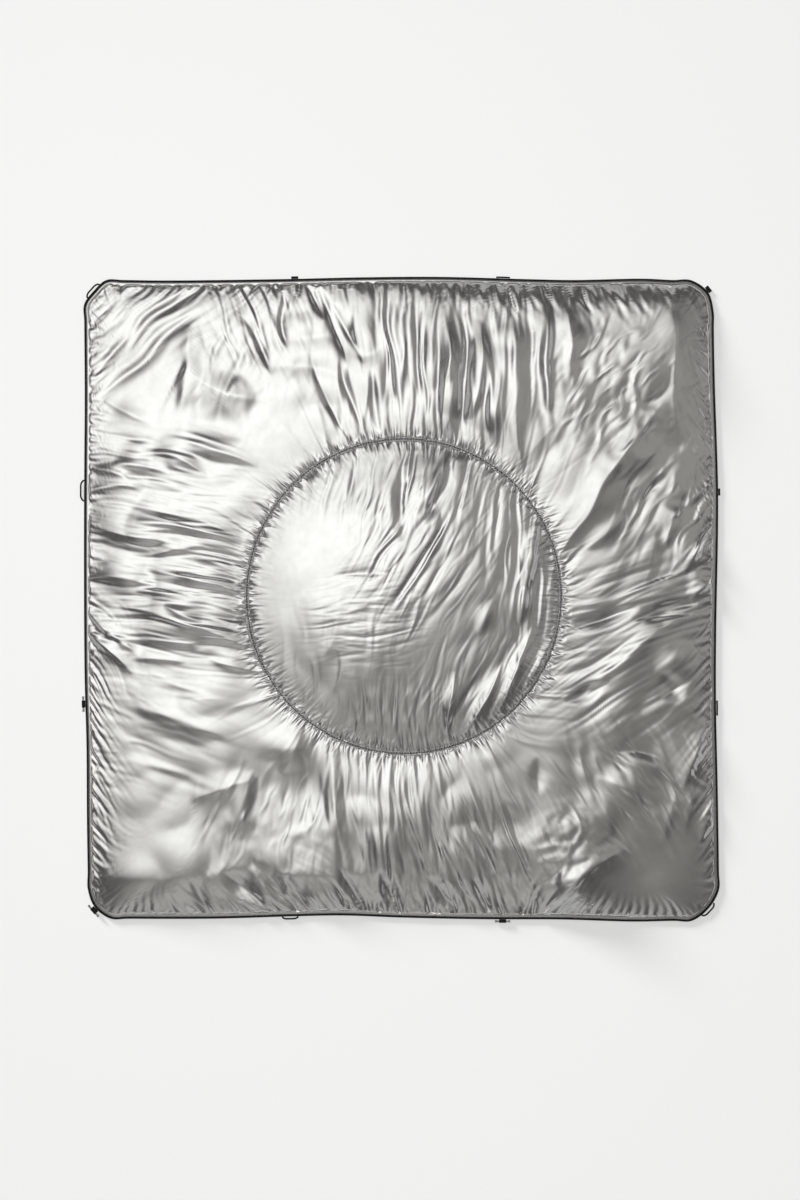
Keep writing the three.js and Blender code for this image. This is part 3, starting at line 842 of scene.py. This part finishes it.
def surround_grid(coarseness):
    """Points of the surround, which are pinned, resting heights, extra cloth and distances from stitching."""
    columns = SURROUND_COLUMNS // coarseness
    rings = SURROUND_RINGS // coarseness
    edge = inside_binding(HEM_WIDTH)[::coarseness]
    outward = OUTWARD[::coarseness]
    along_edge = outward[:, ::-1] * [1, -1]
    ray = edge - CIRCLE
    reach = np.linalg.norm(ray, axis=1)
    on_circle = CIRCLE + ray / reach[:, None] * (CIRCLE_RADIUS + SEAM_GAP)
    even = np.linspace(0, 1, rings + 1)
    share = (even - RING_CROWDING * np.sin(2 * math.pi * even))[:, None]
    flat = on_circle * (1 - share[..., None]) + edge * share[..., None]
    pinned = np.zeros((rings + 1, columns), bool)
    pinned[[0, -1]] = True
    from_seam = share * (reach - CIRCLE_RADIUS)
    from_edge = (1 - share) * round_averaged(np.einsum("ij,ij->i", edge - on_circle, outward))
    aside = (1 - share) * round_averaged(np.einsum("ij,ij->i", edge - on_circle, along_edge))
    run = np.linspace(0, EDGE_LENGTH, columns, endpoint=False) - aside
    gathers = smooth(from_edge, 0, FOLD_START) * hem_gathers(run, from_edge)
    resting = surround_height(share, from_seam, from_edge) + gathers
    around = np.column_stack([-ray[:, 1], ray[:, 0]]) / reach[:, None]
    extra = spread(around.T, SEAM_EASE["surround"] * np.exp(-from_seam / SEAM_EASE["reach"]))
    extra += spread(along_edge.T, HEM_EASE["amount"] * np.exp(-from_edge / HEM_EASE["reach"]))
    return flat, pinned, resting, extra, np.minimum(from_edge, from_seam)


def disc_grid(coarseness):
    """The same for the disc, on a square grid that is rounded to the circle."""
    side = DISC_SIDE // coarseness
    u, v = np.meshgrid(np.linspace(-1, 1, side + 1), np.linspace(-1, 1, side + 1))
    round_x = u * np.sqrt(1 - v**2 / 2)
    round_y = v * np.sqrt(1 - u**2 / 2)
    flat = CIRCLE + (CIRCLE_RADIUS - SEAM_GAP) * np.dstack([round_x, round_y])
    share = np.minimum(np.hypot(round_x, round_y), 1)
    from_seam = CIRCLE_RADIUS * (1 - share)
    lip = SHOULDER["seam"] * shoulder(from_seam, SHOULDER["reach"])
    lean = 1 - DISC_LEAN * (round_x - round_y) / math.sqrt(2)
    resting = SEAM_HEIGHT + lip + DISC_DOME * lean * (1 - share**2)
    pinned = np.ones((side + 1, side + 1), bool)
    pinned[1:-1, 1:-1] = False
    ray = (flat - CIRCLE) / np.maximum(CIRCLE_RADIUS * share, LEAST_RADIUS)[..., None]
    extra = spread((-ray[..., 1], ray[..., 0]), SEAM_EASE["disc"] * np.exp(-from_seam / SEAM_EASE["reach"]))
    return flat, pinned, resting, extra, from_seam


# Making meshes

def new_piece(name, points, faces, material, node):
    """A smooth mesh of points in the layout, which rides on the frame and may replace a node."""
    mesh = bpy.data.meshes.new(name)
    mesh.from_pydata(((points + SHIFT) * MM).tolist(), [], faces)
    mesh.shade_smooth()
    mesh.materials.append(material)
    piece = bpy.data.objects.new(name, mesh)
    bpy.context.scene.collection.objects.link(piece)
    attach(piece, ROOT)
    if node:
        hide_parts(node)
    return piece


def grid_faces(rows, columns, across_closed, down_closed=False):
    """Quads of a grid of points, joined up where it is closed."""
    index = np.arange(rows * columns).reshape(rows, columns)
    across = np.roll(index, -1, axis=1)
    down = np.roll(index, -1, axis=0)
    both = np.roll(down, -1, axis=1)
    faces = np.stack([index, across, both, down], axis=-1)
    if not down_closed:
        faces = faces[:-1]
    if not across_closed:
        faces = faces[:, :-1]
    return faces.reshape(-1, 4)


def capped_tubes(walls, ends):
    """Points and faces of tubes from their rings of points, closed by fans round a point at each end."""
    count, steps, sides, _ = walls.shape
    points = np.concatenate([walls.reshape(count, -1, 3), ends], axis=1)
    first = np.arange(sides)
    last = first + (steps - 1) * sides
    start_point, end_point = steps * sides, steps * sides + 1
    start_cap = np.stack([np.full(sides, start_point), np.roll(first, -1), first], axis=1)
    end_cap = np.stack([np.full(sides, end_point), last, np.roll(last, -1)], axis=1)
    parts = grid_faces(steps, sides, across_closed=True), start_cap, end_cap
    faces = []
    for k in range(count):
        for part in parts:
            faces += (part + k * points.shape[1]).tolist()
    return points.reshape(-1, 3), faces


def swept(lines, radii, sides):
    """Tubes along many lines of equally many points, none of them upright, with a radius for each point."""
    along = np.gradient(lines, axis=1)
    along /= np.linalg.norm(along, axis=2)[..., None]
    aside = np.cross(along, [0.0, 0.0, 1.0])
    aside /= np.linalg.norm(aside, axis=2)[..., None]
    above = np.cross(aside, along)
    turn = turns(sides)
    ring = aside[:, :, None] * np.cos(turn)[:, None] + above[:, :, None] * np.sin(turn)[:, None]
    walls = lines[:, :, None] + ring * np.broadcast_to(radii, ring.shape[:3])[..., None]
    return capped_tubes(walls, lines[:, [0, -1]])


# The blanket

def point_normals(points, faces):
    """Average normal of the faces at each point."""
    corners = points[faces]
    across = np.cross(corners[:, 2] - corners[:, 0], corners[:, 3] - corners[:, 1])
    normals = np.zeros_like(points)
    for corner in range(4):
        np.add.at(normals, faces[:, corner], across)
    return normals / np.linalg.norm(normals, axis=1)[:, None]


def blanket_surround(material):
    """The cloth round the circle, in a left and a right half so that neither mesh is too large."""
    cloth = settle_in_levels(surround_grid, closed=True)
    edge = inside_binding(0)
    share = np.linspace(0, 1, HEM_ROWS + 1)[1:, None, None]
    spots = cloth[-1, :, :2] * (1 - share) + edge * share
    height = HEM_HEIGHT + (EDGE_HEIGHT - HEM_HEIGHT) * share + HEM_ROLL * np.sin(math.pi * share)
    hem = np.concatenate([spots, np.broadcast_to(height, (*spots.shape[:2], 1))], axis=2)
    underside = np.stack([hem[-1], cloth[0]]) * [1, 1, 0]
    rows = np.concatenate([cloth, hem, underside])
    points = rows.reshape(-1, 3)
    faces = grid_faces(len(rows), SURROUND_COLUMNS, across_closed=True, down_closed=True)
    normals = point_normals(points, faces)
    column = faces[:, 0] % SURROUND_COLUMNS
    top_middle = SURROUND_COLUMNS // 8
    half = SURROUND_COLUMNS // 2
    for name, first in (("blanket_surround_right", top_middle), ("blanket_surround_left", top_middle + half)):
        chosen = (column - first) % SURROUND_COLUMNS < half
        used, half_faces = np.unique(faces[chosen], return_inverse=True)
        half_faces = half_faces.reshape(-1, 4).tolist()
        piece = new_piece(name, points[used], half_faces, material, "blanket")
        piece.data.normals_split_custom_set_from_vertices(normals[used].tolist())


def blanket_disc(material):
    """The cloth inside the circle, with a wall down to the flat underside."""
    cloth = settle_in_levels(disc_grid, closed=False)
    side = DISC_SIDE + 1
    top = cloth.reshape(-1, 3)
    top_faces = grid_faces(side, side, across_closed=False)
    index = np.arange(side * side).reshape(side, side)
    rim = np.concatenate([index[0, :-1], index[:-1, -1], index[-1, :0:-1], index[:0:-1, 0]])
    below = side * side + np.arange(len(rim))
    middle = np.full(len(rim), below[-1] + 1)
    wall = np.stack([np.roll(rim, -1), rim, below, np.roll(below, -1)], axis=1)
    floor = np.stack([np.roll(below, -1), below, middle], axis=1)
    points = np.concatenate([top, top[rim] * [1, 1, 0], [[*CIRCLE, 0]]])
    faces = top_faces.tolist() + wall.tolist() + floor.tolist()
    piece = new_piece("blanket_disc", points, faces, material, "blanket")


# Stitching

def stitches(name, line, thread, material):
    """Separate stitches along a closed line, each sunk into the cloth at both ends."""
    line = np.column_stack([line, np.full(len(line), thread["height"])])
    around = evenly(np.concatenate([line, line[:1]]), STITCHED_STEPS, closed=True)
    count = round(gaps(around).sum() / thread["pitch"])
    share = np.linspace(-0.5, 0.5, len(STITCH_FORM)) * thread["length"] / thread["pitch"]
    stops = (np.arange(count)[:, None] + share) * len(around) / count
    steps = np.arange(len(around))
    spots = np.stack([np.interp(stops, steps, axis, period=len(around)) for axis in around.T], axis=-1)
    form = np.array(STITCH_FORM)
    spots[..., 2] -= thread["radius"] * STITCH_SINK * (1 - form)
    points, faces = swept(spots, (thread["radius"] * form)[None, :, None], STITCH_SIDES)
    new_piece(name, points, faces, material, None)


# The binding

def edge_binding(material):
    """Tape folded over the edge: rounded outside, with a soft roll that is not quite even along its run."""
    half, low, high = BINDING["width"] / 2, BINDING["low"], BINDING["high"]
    turn = turns(BINDING_SIDES)
    out, up = (np.sign(way) * np.abs(way) ** BINDING["rounding"] for way in (np.cos(turn), np.sin(turn)))
    height = (low + high) / 2 + (high - low) / 2 * up
    run = np.arange(SURROUND_COLUMNS)
    short_wave, long_wave = (np.sin(run * number) for number in BINDING["waves"])
    roll = BINDING["roll"] * short_wave * long_wave * np.maximum(np.sin(turn), 0)[:, None]
    spots = EDGE_LINE + OUTWARD * (half * out)[:, None, None]
    points = np.dstack([spots, height[:, None] + roll])
    faces = grid_faces(BINDING_SIDES, SURROUND_COLUMNS, across_closed=True, down_closed=True)
    new_piece("binding", points.reshape(-1, 3), faces.tolist(), material, "edge_binding")


# Fittings on the edge

class Seat:
    """A place on the binding's outer face, with distances counted outward from it and along the edge."""

    def __init__(self, x, y):
        outer = beside_edge(BINDING["width"] / 2)
        nearest = np.linalg.norm(outer - [x, y], axis=1).argmin()
        self.outward = OUTWARD[nearest]
        self.along = np.array([-self.outward[1], self.outward[0]])
        self.spot = outer[nearest] + self.along * (([x, y] - outer[nearest]) @ self.along)
        self.face = (outer - self.spot) @ np.column_stack([self.outward, self.along])

    def foot(self, along, half_width):
        """Where a piece so wide can start, just clear of the binding."""
        beside = np.abs(self.face[:, 1] - along) <= half_width + FOOT_MARGIN
        near = beside & (np.abs(self.face[:, 0]) < SEAT_REACH)
        return self.face[near, 0].max() + PIECE_GAP

    def place(self, points):
        """Points in the layout, from distances out and along and heights."""
        out, along, height = np.moveaxis(np.asarray(points, float), -1, 0)
        flat = self.spot + self.outward * out[..., None] + self.along * along[..., None]
        return np.concatenate([flat, height[..., None]], axis=-1)


def cord(name, seat, route, material):
    """A braided cord along distances out and along."""
    line = round_curve(np.array(route, float), CORD_CURVE_STEPS, closed=False)
    line = evenly(line, CORD_STEPS, closed=False)
    points = seat.place(np.column_stack([line, np.full(len(line), CORD_HEIGHT)]))
    run = np.linspace(0, gaps(line).sum(), CORD_STEPS)[:, None]
    turn = turns(CORD_SIDES)
    twist = 2 * math.pi * run / BRAID["pitch"]
    strands = np.abs(np.sin(2 * turn + twist)) * np.abs(np.sin(2 * turn - twist))
    radii = CORD_RADIUS * (BRAID["low"] + BRAID["rise"] * strands)
    points, faces = swept(points[None], radii[None], CORD_SIDES)
    new_piece(name + "_cord", points, faces, material, name)


def standing_loop(name, x, y, width, stands, material):
    """A cord loop that stands out from the edge."""
    seat = Seat(x, y)
    half = width / 2
    crest = stands - CORD_RADIUS
    foot, knee, rise, level, slack = LOOP_SHAPE.values()
    arms = []
    for side in (-half, half):
        start = seat.foot(side, CORD_RADIUS)
        bend = start + CORD_RADIUS + (crest - start - CORD_RADIUS) * rise
        arms.append([(start, side), (start + foot, side), (bend, knee * side), (crest, level * side)])
    cord(name, seat, [*arms[0], (crest + slack, 0), *arms[1][::-1]], material)


def tucked_loop(name, x, y, width, material):
    """A cord loop that lies flat along the edge."""
    seat = Seat(x, y)
    half = width / 2
    route = []
    for along in np.linspace(-half, half, TUCKED_POINTS):
        slack = LOOP_SHAPE["slack"] * (1 - (along / half) ** 2)
        route.append((seat.foot(along, half / 2) + CORD_RADIUS + slack, along))
    cord(name, seat, route, material)


def strap(name, seat, foot, out, bore, height, node, material):
    """Webbing folded round a bar, or flat on itself where the bore is small, with thicker selvedges."""
    turn = np.linspace(-math.pi / 2, math.pi / 2, FOLD_STEPS)
    arc = np.column_stack([np.cos(turn), np.sin(turn)])
    lines = []
    for radius, from_middle in ((bore + WEB_THICKNESS, WEB_THICKNESS), (bore, FOLD_GAP)):
        below, above = (foot, TAB_HEIGHT - from_middle), (foot, TAB_HEIGHT + from_middle)
        line = np.array([below, *(arc * radius + (out, height)), above])
        lines.append(evenly(line, STRAP_STEPS, closed=False))
    outside, inside = lines
    middle = (outside + inside) / 2
    rows = []
    for across, fullness in STRAP_SECTION:
        outer, inner = (middle + (line - middle) * fullness for line in (outside, inside))
        section = np.concatenate([outer, inner[::-1]])
        along = np.full((len(section), 1), across * TAB_WIDTH / 2)
        rows.append(seat.place(np.column_stack([section[:, :1], along, section[:, 1:]])))
    size = 2 * STRAP_STEPS
    faces = grid_faces(len(rows), size, across_closed=True)[:, ::-1].tolist()
    for start in (0, (len(rows) - 1) * size):
        for k in range(STRAP_STEPS - 1):
            cap = [start + k, start + k + 1, start + size - 2 - k, start + size - 1 - k]
            faces.append(cap if start == 0 else cap[::-1])
    new_piece(name, np.concatenate(rows), faces, material, node)


def toggle_bar(name, seat, out, node, material):
    """A turned bar with a rounded knob and a hollow at each end."""
    neck, knob, end = BAR["neck"], BAR["knob"], BAR["length"] / 2
    inner = end - BAR["knob_length"]
    profile = [(neck, BAR_MIDDLE), (neck, inner - BAR["bevel"])]
    profile += [(knob - inside, inner + along) for inside, along in KNOB_START]
    profile += [(knob - inside, end - along) for inside, along in KNOB_END]
    profile.append((HOLLOW["radius"], end - HOLLOW["depth"]))
    half = np.array(profile)
    rings = np.concatenate([half[::-1] * [1, -1], half])
    turn = turns(BAR_SIDES)
    circle = np.column_stack([np.cos(turn), np.zeros(BAR_SIDES), np.sin(turn)])
    walls = circle * rings[:, None, :1] + np.array([0.0, 1.0, 0.0]) * rings[:, None, 1:]
    ends = np.array([(0, rings[0, 1], 0), (0, rings[-1, 1], 0)])
    points, faces = capped_tubes(walls[None], ends[None])
    spots = seat.place(points + (out, 0, BAR["height"]))
    new_piece(name, spots, faces, material, node)


def plain_tab(name, x, y, stands, material):
    """A webbing tab folded flat on itself."""
    seat = Seat(x, y)
    foot = seat.foot(0, TAB_WIDTH / 2)
    out = stands - WEB_THICKNESS - FLAT_BORE
    strap(name + "_webbing", seat, foot, out, FLAT_BORE, TAB_HEIGHT, name, material)


def toggle(name, x, y, bar_out, web_material, bar_material):
    """A webbing tab folded round a bar."""
    seat = Seat(x, y)
    foot = seat.foot(0, TAB_WIDTH / 2)
    bore = BAR["neck"] + PIECE_GAP
    out = max(bar_out, foot + bore + WEB_THICKNESS)
    strap(f"tab_{name}_webbing", seat, foot, out, bore, BAR["height"], f"tab_{name}", web_material)
    toggle_bar(f"toggle_{name}_bar", seat, out, f"toggle_{name}", bar_material)


# Materials

def set_inputs(tree, node, inputs):
    """Sets values, or makes links, for a node's named or numbered inputs."""
    for key, value in inputs.items():
        if isinstance(value, bpy.types.NodeSocket):
            tree.links.new(value, node.inputs[key])
        else:
            node.inputs[key].default_value = value


def add_node(tree, kind, inputs, output=0, **settings):
    """Adds a shader node and gives one of its outputs."""
    node = tree.nodes.new("ShaderNode" + kind)
    for name, value in settings.items():
        setattr(node, name, value)
    set_inputs(tree, node, inputs)
    return node.outputs[output]


def new_material(name):
    """A material with its node tree, the place on the object that its patterns follow, and its shader."""
    material = bpy.data.materials.new(name)
    material.use_nodes = True
    tree = material.node_tree
    place = add_node(tree, "TexCoord", {}, output="Object")
    return material, tree, place, tree.nodes["Principled BSDF"]


def noise(tree, place, scale, detail=3.0):
    return add_node(tree, "TexNoise", {"Vector": place, "Scale": scale, "Detail": detail}, output="Fac")


def map_range(tree, value, start, end, low, high, **settings):
    return add_node(tree, "MapRange", {
        "Value": value, "From Min": start, "From Max": end, "To Min": low, "To Max": high,
    }, **settings)


def in_range(tree, value, low, high):
    """A noise spread over a range."""
    return map_range(tree, value, *NOISE_RANGE, low, high)


def faded(tree, value, start, end, before, after):
    """A smooth change from one glow to another as a value goes from start to end."""
    return map_range(tree, value, start, end, before, after, interpolation_type="SMOOTHSTEP")


def bump(tree, height, distance, strength, below=None):
    inputs = {"Height": height, "Distance": distance, "Strength": strength}
    if below is not None:
        inputs["Normal"] = below
    return add_node(tree, "Bump", inputs)


def woven(tree, place, scale, depth, strength, below=None):
    """Bump of threads that cross each other."""
    inputs = {"Vector": place, "Scale": scale}
    warp, weft = (add_node(tree, "TexWave", inputs, "Fac", bands_direction=way) for way in ("X", "Y"))
    return bump(tree, add_node(tree, "Math", {0: warp, 1: weft}, operation="ADD"), depth, strength, below)


def colour_between(tree, value, dark, light):
    """A mix of two colours, which are the node's inputs 6 and 7 and output 2."""
    inputs = {"Factor": value, 6: (*dark, 1), 7: (*light, 1)}
    return add_node(tree, "Mix", inputs, output=2, data_type="RGBA")


def patchy(tree, place, dark, light, scale):
    """A tint that changes in patches."""
    return colour_between(tree, in_range(tree, noise(tree, place, scale), 0, 1), dark, light)


def silver_cloth():
    """Metallised cloth with a faint weave, slightly crinkled and not quite even in tint and gloss."""
    material, tree, place, shader = new_material("silver_cloth")
    crinkle = bump(tree, noise(tree, place, scale=70.0), distance=0.0012, strength=0.025)
    set_inputs(tree, shader, {
        "Metallic": 1.0,
        "Base Color": colour_between(tree, noise(tree, place, scale=9.0), *SILVER_TINTS),
        "Roughness": in_range(tree, noise(tree, place, scale=60.0, detail=5.0), low=0.2, high=0.27),
        "Normal": woven(tree, place, scale=260.0, depth=0.00004, strength=0.08, below=crinkle),
    })
    return material


def black_textile(name, scale, depth, light):
    """Matt black threads, worn a little lighter in patches."""
    material, tree, place, shader = new_material(name)
    set_inputs(tree, shader, {
        "Base Color": patchy(tree, place, BLACK, light, scale=220.0),
        "Roughness": in_range(tree, noise(tree, place, scale=500.0), low=0.72, high=0.92),
        "Normal": woven(tree, place, scale, depth, strength=0.6),
    })
    return material


def grey_thread():
    """Thread that is duller in places, with fine fibres."""
    material, tree, place, shader = new_material("grey_thread")
    set_inputs(tree, shader, {
        "Base Color": patchy(tree, place, *THREAD_TINTS, scale=300.0),
        "Roughness": 0.65,
        "Normal": bump(tree, noise(tree, place, scale=2400.0), distance=0.0002, strength=0.5),
    })
    return material


def moulded_plastic():
    """Half matt plastic with a fine grain."""
    material, tree, place, shader = new_material("grey_plastic")
    set_inputs(tree, shader, {
        "Base Color": patchy(tree, place, *PLASTIC_TINTS, scale=180.0),
        "Roughness": in_range(tree, noise(tree, place, scale=700.0), low=0.36, high=0.5),
        "Normal": bump(tree, noise(tree, place, scale=1600.0), distance=0.0001, strength=0.3),
    })
    return material


# The stage

def flat_square(name, half, height):
    """A square of the stage, with its material's node tree and that tree's output node."""
    mesh = bpy.data.meshes.new(name)
    corners = [(-half, -half, height), (half, -half, height), (half, half, height), (-half, half, height)]
    mesh.from_pydata(corners, [], [(0, 1, 2, 3)])
    square = bpy.data.objects.new(name, mesh)
    bpy.context.scene.collection.objects.link(square)
    square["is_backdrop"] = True
    material = bpy.data.materials.new(name)
    mesh.materials.append(material)
    material.use_nodes = True
    tree = material.node_tree
    tree.nodes.clear()
    return square, tree, tree.nodes.new("ShaderNodeOutputMaterial")


def light_panel():
    """An overhead panel that lights the blanket but is not seen itself."""
    panel, tree, output = flat_square("light_panel", PANEL_HALF, PANEL_HEIGHT)
    place = add_node(tree, "TexCoord", {}, output="Object")
    glow = PANEL_GLOW
    for x, y, full, outer, brightness in BRIGHT_AREAS:
        spots = {0: place, 1: (x, y, PANEL_HEIGHT)}
        away = add_node(tree, "VectorMath", spots, output="Value", operation="DISTANCE")
        area = faded(tree, away, full, outer, brightness, 0.0)
        glow = add_node(tree, "Math", {0: area, 1: glow}, operation="ADD")
    tint = colour_between(tree, glow, WARM_GLOW, WHITE_GLOW)
    set_inputs(tree, output, {"Surface": add_node(tree, "Emission", {"Color": tint, "Strength": glow})})
    panel.visible_camera = False
    panel.visible_shadow = False


def stage_floor():
    """A pale floor that glows a little, so that it stays even round the blanket."""
    floor, tree, output = flat_square("floor", FLOOR["half"], FLOOR["height"])
    shade = FLOOR["shade"]
    diffuse = add_node(tree, "BsdfDiffuse", {"Color": (shade, shade, shade, 1)})
    glow = add_node(tree, "Emission", {"Color": (1, 1, 1, 1), "Strength": FLOOR["glow"]})
    set_inputs(tree, output, {"Surface": add_node(tree, "AddShader", {0: diffuse, 1: glow})})
    return floor


def floor_light(floor):
    """A low light from the top left, on the floor only, so that the blanket casts a soft shadow beside it."""
    light = bpy.data.lights.new("floor_light", "SUN")
    light.energy = FLOOR_LIGHT["energy"]
    light.angle = math.radians(FLOOR_LIGHT["softness"])
    lamp = bpy.data.objects.new("floor_light", light)
    lamp.rotation_euler = (0, math.radians(90 - FLOOR_LIGHT["elevation"]), math.radians(FLOOR_LIGHT["from"]))
    bpy.context.scene.collection.objects.link(lamp)
    lit = bpy.data.collections.new("lit_floor")
    lit.objects.link(floor)
    lamp.light_linking.receiver_collection = lit


def pale_walls(tree):
    """A pale band round the stage, dark towards the floor and above the panel."""
    way = add_node(tree, "TexCoord", {}, output="Generated")
    up = add_node(tree, "SeparateXYZ", {"Vector": way}, output="Z")
    begins = faded(tree, up, *WALLS["begins"], WALLS["dark"], WALLS["pale"])
    ends = faded(tree, up, *WALLS["ends"], WALLS["pale"], WALLS["dark"])
    glow = add_node(tree, "Math", {0: begins, 1: ends}, operation="MINIMUM")
    set_inputs(tree, tree.nodes["Background"], {"Color": (1, 1, 1, 1), "Strength": glow})


def studio():
    """The light, and a camera that looks straight down."""
    scene = bpy.context.scene
    scene.view_settings.view_transform = "Standard"
    world = bpy.data.worlds.new("studio")
    scene.world = world
    world.use_nodes = True
    pale_walls(world.node_tree)
    light_panel()
    camera_data = bpy.data.cameras.new("camera")
    camera_data.sensor_width = SENSOR
    camera_data.lens = SENSOR * CAMERA_SPOT[2] / FRAME_HEIGHT
    camera = bpy.data.objects.new("camera", camera_data)
    scene.collection.objects.link(camera)
    camera.location = CAMERA_SPOT
    scene.camera = camera


def build():
    floor_light(stage_floor())
    studio()
    silver, thread, plastic = silver_cloth(), grey_thread(), moulded_plastic()
    tape, braid, web = (black_textile(name, *finish) for name, finish in TEXTILES.items())
    blanket_surround(silver)
    blanket_disc(silver)
    turn = turns(CIRCLE_STEPS)
    circle = CIRCLE + CIRCLE_RADIUS * np.column_stack([np.cos(turn), np.sin(turn)])
    stitches("circle_stitching", circle, CIRCLE_THREAD, thread)
    stitches("hem_stitching", inside_binding(HEM_WIDTH / 2), HEM_THREAD, thread)
    edge_binding(tape)
    for row in LOOPS:
        standing_loop(*row, braid)
    for row in TUCKED_LOOPS:
        tucked_loop(*row, braid)
    for row in TABS:
        plain_tab(*row, web)
    for row in TOGGLES:
        toggle(*row, web, plastic)


build()
({name: [list(corner) for corner in box] for name, box in
           (("cad", CAD_BOX), ("visual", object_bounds()))})
